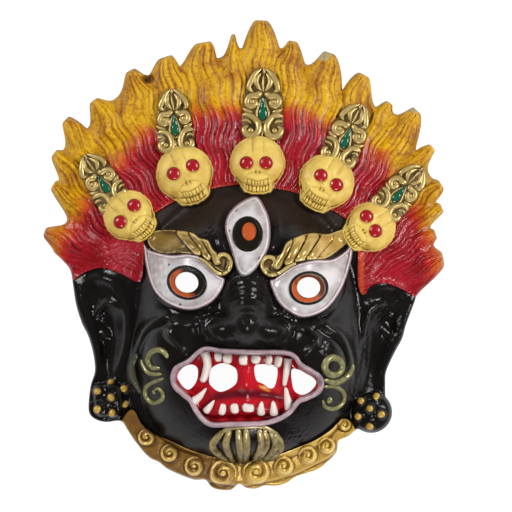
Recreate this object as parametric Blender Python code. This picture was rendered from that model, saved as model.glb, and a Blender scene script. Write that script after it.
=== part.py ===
"""A three-eyed guardian mask, modelled as the thin casting it is: one hollow shell, open at the back.

A fan of flames, five skulls with leaf crests, the brows, teeth, beard and scrolled collar are all raised on
the shell in relief. The mask lies face up on its back rim: +X to the viewer's right, +Y to the crown, +Z out
of the face. Places in its plan are given on a carver's grid, as (column, row), columns counted to the right
and rows down, and so are widths, reaches and radii. Heights, walls and edges are real sizes in metres.
"""

import math

import bpy
import numpy as np
from mathutils import Matrix
from mathutils.geometry import delaunay_2d_cdt

# The whole mask and its carver's grid
MASK_HEIGHT = 0.2826
GRID_ROWS = 471
GRID = MASK_HEIGHT / GRID_ROWS
LEAN = math.radians(2.4)

# Walls and edges of the casting
EDGE_THICKNESS = 0.0045
EDGE_ROUNDING = 0.0018
EDGE_SLOPE = 0.75
WALL = 0.004
RIM_WIDTH = 0.0075
HOLLOW_DRAFT = 1.6

# Heights above the back, and rises above what carries them
CROWN_TIP_HEIGHT = 0.0055
CROWN_ROOT_HEIGHT = 0.025
FACE_EDGE_HEIGHT = 0.010
FACE_HEIGHT = 0.054
BROW_RISE = 0.006
EYE_SWELL_RISE = 0.004
EYEBALL_RISE = 0.0048
EYE_RIM_RISE = 0.0014
THIRD_EYE_RISE = 0.0045
IRIS_RISE = 0.0014
NOSE_BRIDGE_RISE = 0.011
NOSE_SWELL_RISE = 0.009
NOSE_TIP_RISE = 0.0095
NOSTRIL_RISE = 0.006
CHEEK_RISE = 0.009
MUZZLE_RISE = 0.009
MOUTH_DEPTH = 0.008
LIP_RISE = 0.0042
GUM_RISE = 0.003
TOOTH_RISE = 0.0032
FANG_RISE = 0.005
CHIN_RISE = 0.007
BEARD_RISE = 0.003
BEARD_GROOVE = 0.0022
BROW_LEAF_RISE = 0.0036
BROW_LEAF_GROOVE = 0.0018
WRINKLE_DEPTH = 0.0012
CHEEK_FOLD_RISE = 0.0026
CURL_RISE = 0.0018
EAR_RIM_RISE = 0.0045
EAR_RIDGE_RISE = 0.004
LOBE_RISE = 0.0035
STUD_RISE = 0.0022
COLLAR_RISE = 0.0042
SCROLL_RISE = 0.0026
SKULL_RIM_RISE = 0.0036
SKULL_DOME_RISE = 0.0065
SKULL_EYE_RISE = 0.0028
SKULL_GROOVE = 0.0013
CREST_RISE = 0.0034
CREST_SCROLL_RISE = 0.0026
FLAME_RISE = 0.0024
CROWN_LIP_RISE = 0.0012

# How finely the relief is carved, in grid squares, how many facets the finished solid keeps, and how much
# more a fault in height counts than one in plan when facets are merged
FRONT_SPACING = 2.0
BACK_SPACING = 5.0
EDGE_SPACING = 2.4
FACETS = 9600
HEIGHT_WEIGHT = 1.8

# The flame tongues, counter-clockwise from the right: the tip's angle and reach, how hollow its near and far
# sides are, then the angle and reach of the valley after it. Angles are in degrees about FLAME_CENTRE.
FLAME_CENTRE = (246.0, 300.0)
TONGUES = (
    (12.0, 203.8, 1.0, 1.0, 16.3, 196.6),
    (19.3, 202.5, 0.8, 0.8, 21.3, 199.0),
    (24.8, 218.3, 1.0, 0.6, 27.2, 214.5),
    (30.6, 228.6, 0.6, 1.0, 33.5, 223.5),
    (39.0, 243.0, 2.0, 0.4, 41.3, 227.3),
    (48.7, 257.0, 0.7, 1.8, 51.8, 239.5),
    (53.8, 245.6, 1.0, 0.6, 56.0, 233.7),
    (62.4, 256.0, 1.0, 0.4, 65.3, 231.8),
    (72.0, 262.8, 0.6, 1.5, 75.8, 244.3),
    (80.2, 265.2, 0.9, 2.0, 82.4, 255.5),
    (86.8, 282.0, 0.6, 0.8, 90.8, 253.0),
    (92.6, 268.0, 2.2, 1.8, 96.9, 244.8),
    (99.3, 263.0, 0.3, 0.8, 105.9, 244.0),
    (107.8, 258.0, 0.5, 0.7, 113.3, 246.5),
    (116.5, 259.0, 1.2, 1.35, 123.4, 241.5),
    (127.4, 253.0, 1.2, 1.2, 132.9, 235.0),
    (135.0, 257.0, 0.4, 1.2, 140.7, 238.0),
    (142.5, 243.5, 0.8, 0.9, 147.6, 223.5),
    (149.2, 226.5, 0.6, 1.1, 156.5, 197.0),
    (161.3, 215.0, 1.1, 1.0, 166.5, 199.0),
)
FLAME_END = (416, 301)
CHIP = ((138, 72), (143, 79.5), (150, 81), (153, 72))

# Below the crown: left ear with its lobe, collar with its lobed scrolls, right ear with its round earring
LOWER_EDGE = (
    (60, 259), (69, 270), (72, 286), (75, 305), (81, 324),
    (87, 336), (92, 353), (94, 371), (90, 385), (88, 399),
    (88, 413), (94, 420), (105, 423), (120, 422), (127, 431), (135, 443), (148, 458), (158, 463), (167, 470),
    (180, 476), (194, 481), (205, 481), (211, 488), (219, 491),
    (231, 491), (239, 485), (246, 489), (256, 490),
    (264, 487), (277, 487), (287, 484), (296, 478), (308, 474),
    (319, 470), (329, 462), (337, 453), (339, 442),
    (349, 437), (357, 430),
)
EARRING_CENTRE = (372, 413)
EARRING_RADIUS = 21.0
EARRING_ARC = (-125.0, 48.0)
RIGHT_EAR_EDGE = ((386, 384), (387, 372), (395, 354), (403, 339), (407, 325))

# Openings cut right through
LEFT_PUPIL = ((187.0, 282.3), (12.0, 10.5), -12.0)
RIGHT_PUPIL = ((308.4, 287.4), (12.0, 10.7), 0.0)
MOUTH_HOLES = (
    ((177, 376), (183, 367), (192, 364), (198, 368), (198, 378), (194, 386), (188, 390), (181, 385)),
    ((209, 376), (212, 367), (222, 362.5), (232, 365), (237.5, 371), (236, 384), (221, 392), (210, 385)),
    ((254, 367), (259, 363.6), (275, 365), (278, 373), (275, 386), (270, 388.5), (263, 384), (256, 380)),
    ((291, 370), (298, 369), (306, 373), (314, 378), (316.5, 384), (310, 392), (301, 395), (293, 389)),
)

# Face: the black part's outline is two half ellipses, square-shouldered below
FACE_CENTRE = (247.0, 312.0)
FACE_HALF_WIDTH = 118.0
FACE_TOP = 130.0
FACE_DROP = 150.0
FACE_JAW_SQUARENESS = 2.7
FACE_FULLNESS = 2.3
FACE_EDGE_STEEPNESS = 0.6
CROWN_REACH = 2.05

LEFT_EYE = (
    (143, 243), (150, 250), (171, 255), (191, 254), (207, 260),
    (219, 275), (225, 279), (221, 291), (210, 303),
    (191, 310), (171, 305), (155, 292), (147, 272),
)
RIGHT_EYE = (
    (353, 243), (345, 251), (332, 259), (312, 260), (291, 266),
    (275, 278), (270, 282), (277, 300), (288, 311),
    (304, 317.5), (326, 309), (342, 288), (351, 262),
)
THIRD_EYE = (
    (255, 196), (265, 208), (270, 224), (269, 246), (259, 265),
    (246, 276), (238, 271), (232, 253), (225, 226),
    (234, 207),
)
LEFT_EYEBALL = (187, 281)
RIGHT_EYEBALL = (309, 287)
EYEBALL_RADII = (37, 31)
EYE_RIM_WIDTH = 3.0
IRISES = (
    ((187, 282.5), (20.4, 17.1), -16.0),
    ((308.5, 288), (20.0, 17.0), 8.0),
    ((247.6, 234), (15.3, 17.9), 0.0),
)
THIRD_PUPIL = ((249, 231.6), (7.6, 9.5))
LEFT_BROW = (
    (147, 234), (161, 229), (190, 231), (200, 237), (209, 240),
    (215, 250), (228, 256), (230, 265), (223, 273),
    (212, 266), (200, 257), (182, 254), (162, 254), (149, 247),
)
RIGHT_BROW = (
    (351, 228), (344, 228), (327, 233), (313, 232), (299, 235),
    (286, 242), (279, 254), (266, 255), (261, 263),
    (267, 272), (276, 274), (290, 265), (308, 261), (326, 259), (340, 250), (351, 240),
)
BROW_CURLS = ((223.4, 261.4), (269, 263))
BROW_CURL_RADIUS = 7.5
BROW_LOBES_REACH = 66.0
BROW_LOBES = 3.2
MOUTH = (
    (171, 376), (175, 367), (187, 360), (198, 350), (206, 347),
    (222, 349), (252, 350), (285, 351), (296, 355),
    (302, 363), (313, 370), (321, 376), (323.5, 384), (320, 392),
    (309, 398), (300, 402), (291, 413), (280, 420),
    (263, 425), (229, 426), (211, 426), (202, 421), (195, 412), (189, 401), (181, 394), (173, 386),
)
FANGS = (
    (((204, 351), (208, 364), (203, 382)), 4.6),
    (((287, 360), (283, 372), (285, 386)), 4.0),
    (((194, 403), (200, 397), (206, 389)), 4.6),
    (((292, 410), (287, 399), (287, 387)), 4.6),
)
# Teeth: column, root row, tip row
UPPER_TEETH = (
    (218, 352, 362), (228, 352, 363), (243, 353, 365), (256, 353, 364), (269, 354, 364), (278, 355, 366),
)
LOWER_TEETH = (
    (210, 411, 402), (223, 415, 404), (235, 414, 402), (248, 413, 401), (261, 413, 402), (274, 413, 401),
)
TOOTH_HALF_WIDTH = 4.3
GUM_COLUMN = 247.0
GUM_HALF_WIDTH = 62.0
UPPER_GUM = (356.0, 7.0)
LOWER_GUM = (411.0, 8.0)
LIP_LINE = 2.2
LIP_HALF_WIDTH = 4.0
TONGUE = ((247, 366), (246, 384), (250, 396))
TONGUE_HALF_WIDTH = 9.0

BEARD_ROOT = (247.0, 330.0)
BEARD_SPREAD = math.radians(36.0)
BEARD_CENTRE = (247.5, 446.0)
BEARD_RADII = (36.0, 20.0)
BEARD_SQUARENESS = 2.6
BEARD_LOCKS = 7

NOSE_COLUMN = 247.0
NOSE_WRINKLE_ROWS = (282, 290, 298, 306)
NOSE_WRINKLE_HALF_WIDTH = 20.0
NOSE_WRINKLE_SAG = 0.02
NOSTRIL_DENTS = ((236, 343), (259, 343))
NOSTRIL_DENT_RADII = (8, 5)

# Broad swells of the face: middle, half widths and rise
SWELLS = (
    ((187, 243), (56, 26), BROW_RISE),
    ((306, 247), (56, 26), BROW_RISE),
    (LEFT_EYEBALL, (52, 46), EYE_SWELL_RISE),
    (RIGHT_EYEBALL, (52, 46), EYE_SWELL_RISE),
    ((247, 296), (30, 52), NOSE_BRIDGE_RISE),
    ((247, 327), (50, 32), NOSE_SWELL_RISE),
    ((162, 345), (44, 50), CHEEK_RISE),
    ((331, 350), (44, 50), CHEEK_RISE),
    ((247, 385), (104, 68), MUZZLE_RISE),
    ((247, 446), (64, 30), CHIN_RISE),
)
# Round bosses cast solid on the face: middle, half widths, rise and turn
BOSSES = (
    (LEFT_EYEBALL, EYEBALL_RADII, EYEBALL_RISE, -14),
    (RIGHT_EYEBALL, EYEBALL_RADII, EYEBALL_RISE, 12),
    ((247, 328), (25, 19), NOSE_TIP_RISE, 0),
    ((213.5, 329), (14, 13), NOSTRIL_RISE, 0),
    ((281, 331), (14, 13), NOSTRIL_RISE, 0),
)

LEFT_CURLS = (
    (((168, 358), (160, 350), (150, 356), (151, 368), (160, 372)), 3.0),
    (((142, 360), (148, 372), (162, 374)), 2.4),
    (((166, 379), (153, 384), (145, 392), (150, 402), (160, 400), (163, 392), (155, 390)), 2.8),
)
RIGHT_CURLS = (
    (((334, 357), (326, 362), (326, 370), (334, 375), (342, 370), (342, 361), (334, 357)), 3.0),
    (((328, 380), (343, 381), (353, 368)), 2.8),
    (((327, 387), (338, 388), (344, 397), (338, 408), (328, 405)), 3.0),
)
CHEEK_FOLDS = (
    (((134, 388), (132, 362), (143, 330), (168, 314)), 4.0),
    (((352, 400), (353, 364), (343, 337), (322, 322)), 4.0),
    (((186, 352), (168, 334), (176, 318)), 3.5),
    (((306, 352), (318, 340), (306, 326)), 3.5),
)

LEFT_EAR_RIM = (((82, 290), (86, 312), (94, 332), (100, 352), (102, 372)), 6.5)
LEFT_EAR_RIDGE = (((92, 290), (108, 286), (121, 298), (124, 328), (121, 358), (114, 384)), 5.0)
LEFT_LOBE = ((92, 388), (104, 383), (120, 385), (124, 400), (120, 417), (106, 419), (94, 415))
RIGHT_EAR_RIM = (((409, 305), (401, 326), (394, 344), (384, 360), (379, 380)), 6.5)
RIGHT_EAR_RIDGE = (((398, 300), (382, 297), (369, 306), (366, 330), (362, 358), (361, 384)), 5.0)
STUD_RADIUS = 4.2
STUDS = (
    (97, 392), (110.5, 383), (123.6, 389), (110.7, 398), (124.6, 404.6), (96.7, 410), (111.5, 413.6),
    (361, 401), (376.7, 397), (370, 409), (358.4, 417), (381.6, 415), (370, 427),
)

COLLAR_LINE = (
    (128, 419), (139, 435), (156, 451), (178, 464), (200, 469),
    (222, 473), (240, 475), (256, 473), (285, 466),
    (308, 456), (326, 446), (341, 431), (349, 427),
)
COLLAR_HALF_WIDTH = 12.5
# Collar scrolls: column, row, radius
COLLAR_SCROLLS = (
    (145, 436, 9), (168, 452, 9), (193, 467, 10), (223, 473, 14), (256, 473, 13), (284, 467, 11),
    (308, 456, 10.5), (326, 447, 9), (346, 425, 8),
)

# Skulls: middle, turn counter-clockwise in degrees, radius
SKULLS = (
    ((128.5, 215.5), 49.0, 26.5),
    ((184.5, 173.5), 22.5, 29.5),
    ((257.5, 163.0), 0.0, 28.5),
    ((326.5, 181.5), -31.0, 28.8),
    ((371.0, 227.0), -59.0, 26.0),
)
# The jaw's outline as a share of that radius: how far it stands out and how far the cheeks fall in above it
JAW_SHARE = 0.16
CHEEK_SHARE = 0.05
# A skull's features as shares of its radius: eye sockets, the eye in them, the nose and two rows of teeth
SKULL_DOME = ((0.0, -0.12), (0.86, 0.84))
SKULL_MUZZLE = ((0.0, 0.62), (0.46, 0.34))
SKULL_EYE = (0.35, -0.04)
SKULL_SOCKET_RADII = (0.38, 0.36)
SKULL_EYE_RADII = (0.22, 0.22)
SKULL_NOSE = ((0.0, 0.28), (0.16, 0.2))
SKULL_TEETH_ROWS = (0.5, 0.78)
SKULL_TEETH_HALF_WIDTH = 0.48

# Leaf crests: middle, turn and half length
CRESTS = (
    ((100.5, 180.5), 33.0, 31.0),
    ((174.0, 120.0), 5.0, 32.0),
    ((263.0, 103.0), -1.0, 36.0),
    ((348.5, 133.5), -23.0, 33.0),
    ((402.5, 190.5), -41.0, 31.0),
)
# Their shape as shares of that half length: one side of the leaf from tip to foot, the scrolls' places and
# radii, and the gem's middle and half widths
CREST_SIDE = (
    (0.0, 1.04), (0.13, 0.86), (0.34, 0.7), (0.42, 0.42), (0.62, 0.12), (0.6, -0.14), (0.5, -0.34),
    (0.62, -0.6), (0.56, -0.86), (0.3, -0.96),
)
CREST_SCROLLS = (
    (-0.33, 0.08, 0.26), (0.33, 0.08, 0.26), (-0.36, -0.68, 0.22), (0.36, -0.68, 0.22), (-0.30, -0.30, 0.16),
    (0.30, -0.30, 0.16), (-0.20, 0.55, 0.20), (0.20, 0.55, 0.20), (0.0, 0.84, 0.14),
)
CREST_GEM = ((0.0, -0.28), (0.12, 0.26))

# Flame locks: how many across the fan, how far they wave, and the wave's length along the flame
LOCKS = 46
LOCK_FAN = 250.0
LOCK_WAVE = 2.6
LOCK_WAVE_LENGTH = 58.0
LOCK_ROOT_DROP = 60.0
LOCKS_END_ROW = 292.0
CROWN_LIP_END_ROW = 262.0


def ease(value):
    """0 below 0, 1 above 1, and a smooth step between."""
    value = np.clip(value, 0.0, 1.0)
    return value * value * (3.0 - 2.0 * value)


def soft_min(first, second, blend):
    mix = np.clip(0.5 + 0.5 * (second - first) / blend, 0.0, 1.0)
    return second * (1.0 - mix) + first * mix - blend * mix * (1.0 - mix)


def soft_max(first, second, blend):
    return -soft_min(-first, -second, blend)


def smooth_path(points, closed=False, spacing=EDGE_SPACING):
    """A curve through hand-placed points, as points about the given spacing apart."""
    points = np.asarray(points, float)
    count = len(points)
    spans = count if closed else count - 1
    curve = []
    for index in range(spans):
        if closed:
            before, start, end, after = (points[(index + shift) % count] for shift in (-1, 0, 1, 2))
        else:
            start, end = points[index], points[index + 1]
            before = points[index - 1] if index else 2 * start - end
            after = points[index + 2] if index + 2 < count else 2 * end - start
        pieces = max(1, round(math.dist(start, end) / spacing))
        for step in range(pieces):
            t = step / pieces
            curve.append(
                0.5 * (2 * start + (end - before) * t + (2 * before - 5 * start + 4 * end - after) * t**2
                       + (3 * start - before - 3 * end + after) * t**3)
            )
    if not closed:
        curve.append(points[-1])
    return np.array(curve)


def arc(centre, radius, first, last, spacing=EDGE_SPACING):
    """Points on a circle, from one angle to another, in degrees counter-clockwise from the right."""
    pieces = max(2, round(math.radians(abs(last - first)) * radius / spacing))
    angles = np.radians(np.linspace(first, last, pieces + 1))
    return np.column_stack([centre[0] + radius * np.cos(angles), centre[1] - radius * np.sin(angles)])


def ellipse(centre, radii, turn=0.0, spacing=EDGE_SPACING):
    pieces = max(8, round(math.pi * sum(radii) / spacing))
    angles = np.linspace(0.0, 2 * math.pi, pieces, endpoint=False)
    across, up = radii[0] * np.cos(angles), radii[1] * np.sin(angles)
    c, s = math.cos(math.radians(turn)), math.sin(math.radians(turn))
    return np.column_stack([centre[0] + across * c - up * s, centre[1] - across * s - up * c])


def path_distance(x, y, path, closed=False):
    """How far each point is from a path, and how far along it its nearest place lies, from 0 to 1."""
    path = np.asarray(path, float)
    if closed:
        path = np.vstack([path, path[:1]])
    steps = np.diff(path, axis=0)
    lengths = np.maximum(np.hypot(*steps.T), 1e-9)
    travelled = 0.0
    nearest = np.full(x.shape, np.inf)
    along = np.zeros(x.shape)
    for start, step, length in zip(path[:-1], steps, lengths):
        share = np.clip(((x - start[0]) * step[0] + (y - start[1]) * step[1]) / length**2, 0.0, 1.0)
        gap = np.hypot(x - start[0] - share * step[0], y - start[1] - share * step[1])
        closer = gap < nearest
        nearest[closer] = gap[closer]
        along[closer] = travelled + share[closer] * length
        travelled += length
    return nearest, along / travelled


def is_inside(x, y, outline):
    inside = np.zeros(x.shape, bool)
    ends = np.roll(outline, -1, axis=0)
    for (ax, ay), (bx, by) in zip(outline, ends):
        crosses = (ay > y) != (by > y)
        inside ^= crosses & (x < (bx - ax) * (y - ay) / (by - ay if by != ay else 1.0) + ax)
    return inside


def inset_distance(x, y, outline):
    """Distance in from an outline: positive inside it, negative outside."""
    gap, _ = path_distance(x, y, outline, closed=True)
    return np.where(is_inside(x, y, outline), gap, -gap)


def near_box(x, y, points, margin):
    low = np.min(points, axis=0) - margin
    high = np.max(points, axis=0) + margin
    return (x > low[0]) & (x < high[0]) & (y > low[1]) & (y < high[1])


def turned(x, y, centre, turn):
    """Places in a feature's own frame: right and up, after its turn."""
    right, up = x - centre[0], centre[1] - y
    c, s = math.cos(math.radians(turn)), math.sin(math.radians(turn))
    return right * c + up * s, up * c - right * s


def swell(x, y, centre, radii, rise, turn=0.0):
    """A broad soft mound that dies away at its edge."""
    right, up = turned(x, y, centre, turn)
    return rise * np.clip(1.0 - (right / radii[0]) ** 2 - (up / radii[1]) ** 2, 0.0, None) ** 2


def dome(x, y, centre, radii, rise, turn=0.0):
    """A round boss with a clear edge."""
    right, up = turned(x, y, centre, turn)
    return rise * np.sqrt(np.clip(1.0 - (right / radii[0]) ** 2 - (up / radii[1]) ** 2, 0.0, None))


def add_plaque(height, x, y, outline, rise, ramp):
    """Raises what lies inside an outline, with a short slope at its edge."""
    near = near_box(x, y, outline, ramp)
    inset = inset_distance(x[near], y[near], outline)
    height[near] += rise * ease(inset / ramp)


def add_ridge(height, x, y, line, half_width, rise, taper=0.0):
    """Raises a round ridge along a line, thinner towards its end by the given share."""
    path = smooth_path(line, spacing=3.0)
    near = near_box(x, y, path, half_width)
    gap, along = path_distance(x[near], y[near], path)
    reach = gap / (half_width * (1.0 - taper * along))
    height[near] += rise * np.sqrt(np.clip(1.0 - reach**2, 0.0, None))


# The mask's outline

def flame_point(angle, reach):
    column, row = FLAME_CENTRE
    radians = np.radians(angle)
    return np.column_stack([column + reach * np.cos(radians), row - reach * np.sin(radians)])


def tongue_side(low_angle, low_reach, tip_angle, tip_reach, hollow):
    """The edge from a valley up to a tip, without the tip itself."""
    share = np.linspace(0.0, 1.0, 8, endpoint=False)
    angle = low_angle + (tip_angle - low_angle) * share
    return flame_point(angle, low_reach + (tip_reach - low_reach) * ease(share**hollow))


def flame_edge():
    low_angle = math.degrees(math.atan2(FLAME_CENTRE[1] - FLAME_END[1], FLAME_END[0] - FLAME_CENTRE[0]))
    low_reach = math.dist(FLAME_END, FLAME_CENTRE)
    edge = []
    for tip_angle, tip_reach, near_hollow, far_hollow, next_angle, next_reach in TONGUES:
        edge.append(tongue_side(low_angle, low_reach, tip_angle, tip_reach, near_hollow))
        edge.append(flame_point(np.array([tip_angle]), np.array([tip_reach])))
        edge.append(tongue_side(next_angle, next_reach, tip_angle, tip_reach, far_hollow)[:0:-1])
        low_angle, low_reach = next_angle, next_reach
    return np.vstack(edge)


def even_loop(loop, spacing):
    """The same closed outline with its points an even distance apart."""
    closed = np.vstack([loop, loop[:1]])
    lengths = np.concatenate([[0.0], np.cumsum(np.hypot(*np.diff(closed, axis=0).T))])
    places = np.linspace(0.0, lengths[-1], round(lengths[-1] / spacing), endpoint=False)
    return np.column_stack([np.interp(places, lengths, closed[:, axis]) for axis in (0, 1)])


def chipped(outline):
    """The outline with the broken notch taken out of its upper edge."""
    chip = smooth_path(CHIP, spacing=1.0)
    low, high = chip[:, 0].min(), chip[:, 0].max()
    inside = (outline[:, 0] > low) & (outline[:, 0] < high) & (outline[:, 1] < FLAME_CENTRE[1])
    floor = np.interp(outline[inside, 0], chip[:, 0], chip[:, 1])
    notched = outline.copy()
    notched[inside, 1] = np.maximum(outline[inside, 1], floor)
    return notched


def mask_outline():
    lower = smooth_path(LOWER_EDGE)
    earring = arc(EARRING_CENTRE, EARRING_RADIUS, *EARRING_ARC)
    ear = smooth_path((earring[-1], *RIGHT_EAR_EDGE, FLAME_END))[1:-1]
    return even_loop(chipped(np.vstack([flame_edge(), lower, earring, ear])), EDGE_SPACING)


def openings():
    """The closed outlines of everything cut right through the mask."""
    pupils = [ellipse(*LEFT_PUPIL), ellipse(*RIGHT_PUPIL)]
    return pupils + [smooth_path(hole, closed=True) for hole in MOUTH_HOLES]


# The broad forms, which the hollow behind follows

def face_reach(x, y):
    """0 at the middle of the face, 1 at its outline, and on outwards across the crown and ears."""
    across = np.abs(x - FACE_CENTRE[0]) / FACE_HALF_WIDTH
    above = np.clip(FACE_CENTRE[1] - y, 0.0, None) / FACE_TOP
    below = np.clip(y - FACE_CENTRE[1], 0.0, None) / FACE_DROP
    jaw = (across**FACE_JAW_SQUARENESS + below**FACE_JAW_SQUARENESS) ** (1 / FACE_JAW_SQUARENESS)
    return np.where(y < FACE_CENTRE[1], np.hypot(across, above), jaw)


def plate_height(x, y, inset):
    """The fan behind the face: thin at its edge, and thicker towards the face."""
    outward = np.clip((face_reach(x, y) - 1.0) / (CROWN_REACH - 1.0), 0.0, 1.0)
    fan = CROWN_ROOT_HEIGHT + (CROWN_TIP_HEIGHT - CROWN_ROOT_HEIGHT) * outward
    edge = EDGE_THICKNESS + EDGE_SLOPE * GRID * np.clip(inset, 0.0, None)
    return soft_min(fan, edge, 0.004)


def mouth_recess(x, y):
    recess = np.zeros(x.shape)
    add_plaque(recess, x, y, smooth_path(MOUTH, closed=True), -MOUTH_DEPTH, 9.0)
    return recess


def broad_height(x, y, inset):
    """The height of the mask's broad forms."""
    reach = face_reach(x, y)
    fullness = np.clip(1.0 - reach**FACE_FULLNESS, 0.0, None) ** FACE_EDGE_STEEPNESS
    face = FACE_EDGE_HEIGHT + (FACE_HEIGHT - FACE_EDGE_HEIGHT) * fullness
    for centre, radii, rise in SWELLS:
        face += swell(x, y, centre, radii, rise)
    face += mouth_recess(x, y)
    return soft_max(plate_height(x, y, inset), face, 0.006)


def add_bosses(height, x, y):
    """Eyeballs, nose tip and nostrils."""
    for boss in BOSSES:
        height += dome(x, y, *boss)


# The carving raised on those forms

def add_flames(height, x, y, inset):
    """Wavy locks that run outwards across the crown and die away on the face and ears."""
    right, up = x - FLAME_CENTRE[0], FLAME_CENTRE[1] + LOCK_ROOT_DROP - y
    angle = np.degrees(np.arctan2(right, up))
    reach = np.hypot(right, up)
    wave = LOCK_WAVE * np.sin(2 * math.pi * reach / LOCK_WAVE_LENGTH + np.radians(angle) * 3.0)
    phase = (angle + np.degrees(wave / reach)) / LOCK_FAN * LOCKS
    lock = np.sqrt(np.abs(np.cos(math.pi * phase)))
    crown = ease((face_reach(x, y) - 1.03) / 0.08) * ease((LOCKS_END_ROW - y) / 14.0)
    height += FLAME_RISE * lock * crown * ease(inset / 5.0)


def add_crown_lip(height, x, y):
    """The thin raised edge where the crown meets the forehead."""
    off_line = np.abs(face_reach(x, y) - 1.0) * FACE_TOP
    height += CROWN_LIP_RISE * ease(1.0 - off_line / 3.0) * ease((CROWN_LIP_END_ROW - y) / 10.0)


def skull_edge(direction):
    """The skull's radius in each direction, as a share: round above, with a squarer jaw below."""
    below = np.abs(np.degrees(np.arctan2(np.cos(direction), -np.sin(direction))))
    jaw = JAW_SHARE * ease((44.0 - below) / 16.0)
    return 1.0 + jaw - CHEEK_SHARE * ease(1.0 - np.abs(below - 58.0) / 20.0)


def skull_outline(centre, turn, radius, grow=0.0):
    directions = np.linspace(0.0, 2 * math.pi, 76, endpoint=False)
    reach = radius * skull_edge(directions) + grow
    c, s = math.cos(math.radians(turn)), math.sin(math.radians(turn))
    right, up = reach * np.cos(directions), reach * np.sin(directions)
    return np.column_stack([centre[0] + right * c - up * s, centre[1] - right * s - up * c])


def add_skull(height, x, y, centre, turn, radius):
    near = np.hypot(x - centre[0], y - centre[1]) < 1.3 * radius
    right, up = turned(x[near], y[near], centre, turn)
    right, up = right / radius, up / radius
    reach = np.hypot(right, up) / skull_edge(np.arctan2(up, right))
    down = -up
    carved = SKULL_RIM_RISE * ease((1.0 - reach) * radius / 1.2)
    carved += dome(right, down, *SKULL_DOME, SKULL_DOME_RISE)
    carved += dome(right, down, *SKULL_MUZZLE, 0.4 * SKULL_DOME_RISE)
    for side in (-1, 1):
        eye = (side * SKULL_EYE[0], SKULL_EYE[1])
        carved -= swell(right, down, eye, SKULL_SOCKET_RADII, SKULL_EYE_RISE)
        carved += dome(right, down, eye, SKULL_EYE_RADII, SKULL_EYE_RISE)
    carved -= swell(right, down, *SKULL_NOSE, 2 * SKULL_GROOVE)
    for row in SKULL_TEETH_ROWS:
        bite = np.exp(-(((down - row) / 0.05) ** 2)) * (np.abs(right) < SKULL_TEETH_HALF_WIDTH)
        carved -= SKULL_GROOVE * bite
    height[near] += carved


def crest_outline(centre, turn, half_length, grow=0.0):
    """A pointed leaf, waisted above its foot."""
    side = np.array(CREST_SIDE)
    loop = smooth_path(np.vstack([side, side[:0:-1] * (-1, 1)]), closed=True, spacing=0.07) * half_length
    loop *= 1.0 + grow / np.hypot(*loop.T)[:, None]
    c, s = math.cos(math.radians(turn)), math.sin(math.radians(turn))
    right, up = loop.T
    return np.column_stack([centre[0] + right * c - up * s, centre[1] - right * s - up * c])


def add_crest(height, x, y, centre, turn, half_length):
    add_plaque(height, x, y, crest_outline(centre, turn, half_length), CREST_RISE, 1.6)
    near = np.hypot(x - centre[0], y - centre[1]) < 1.2 * half_length
    right, up = turned(x[near], y[near], centre, turn)
    right, up = right / half_length, up / half_length
    carved = np.zeros(right.shape)
    for across, along, radius in CREST_SCROLLS:
        off = np.hypot(right - across, up - along) / radius
        groove = 0.45 * np.exp(-(((off - 0.55) / 0.2) ** 2))
        carved = np.maximum(carved, CREST_SCROLL_RISE * (np.sqrt(np.clip(1.0 - off**2, 0.0, None)) - groove))
    (across, along), half_widths = CREST_GEM
    gem = dome(right, -up, (across, -along), half_widths, CREST_SCROLL_RISE)
    height[near] += np.maximum(carved, gem)


def add_eyes(height, x, y):
    for outline in (LEFT_EYE, RIGHT_EYE, THIRD_EYE):
        loop = smooth_path(outline, closed=True)
        near = near_box(x, y, loop, EYE_RIM_WIDTH)
        inset = inset_distance(x[near], y[near], loop)
        rim = ease(1.0 - np.abs(inset - EYE_RIM_WIDTH) / EYE_RIM_WIDTH)
        height[near] += EYE_RIM_RISE * (ease(inset / 1.5) + rim)
    add_plaque(height, x, y, smooth_path(THIRD_EYE, closed=True), THIRD_EYE_RISE, 4.0)
    for centre, radii, turn in IRISES:
        right, up = turned(x, y, centre, turn)
        off = np.hypot(right / radii[0], up / radii[1])
        height += IRIS_RISE * (ease((1.0 - off) * 8.0) - 0.6 * ease((0.72 - off) * 8.0))
    height += dome(x, y, *THIRD_PUPIL, 1.5 * IRIS_RISE)


def add_brows(height, x, y):
    """Leaf brows, lobed towards the nose, where each ends in a curl."""
    for outline, curl in zip((LEFT_BROW, RIGHT_BROW), BROW_CURLS):
        loop = smooth_path(outline, closed=True)
        near = near_box(x, y, loop, 2.0)
        inset = inset_distance(x[near], y[near], loop)
        carved = BROW_LEAF_RISE * (0.6 * ease(inset / 1.6) + 0.4 * ease(inset / 9.0))
        from_curl = np.hypot(x[near] - curl[0], y[near] - curl[1])
        inward = 1.0 - np.clip(from_curl / BROW_LOBES_REACH, 0.0, 1.0)
        lobe_line = np.abs(np.sin(math.pi * BROW_LOBES * inward)) ** 4
        carved -= BROW_LEAF_GROOVE * ease(inset / 3.0) * inward * lobe_line
        height[near] += carved
        off = np.hypot(x - curl[0], y - curl[1]) / BROW_CURL_RADIUS
        height += 0.5 * BROW_LEAF_RISE * (ease((1.0 - off) * 3.0) - 1.6 * ease((0.55 - off) * 4.0))


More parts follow.
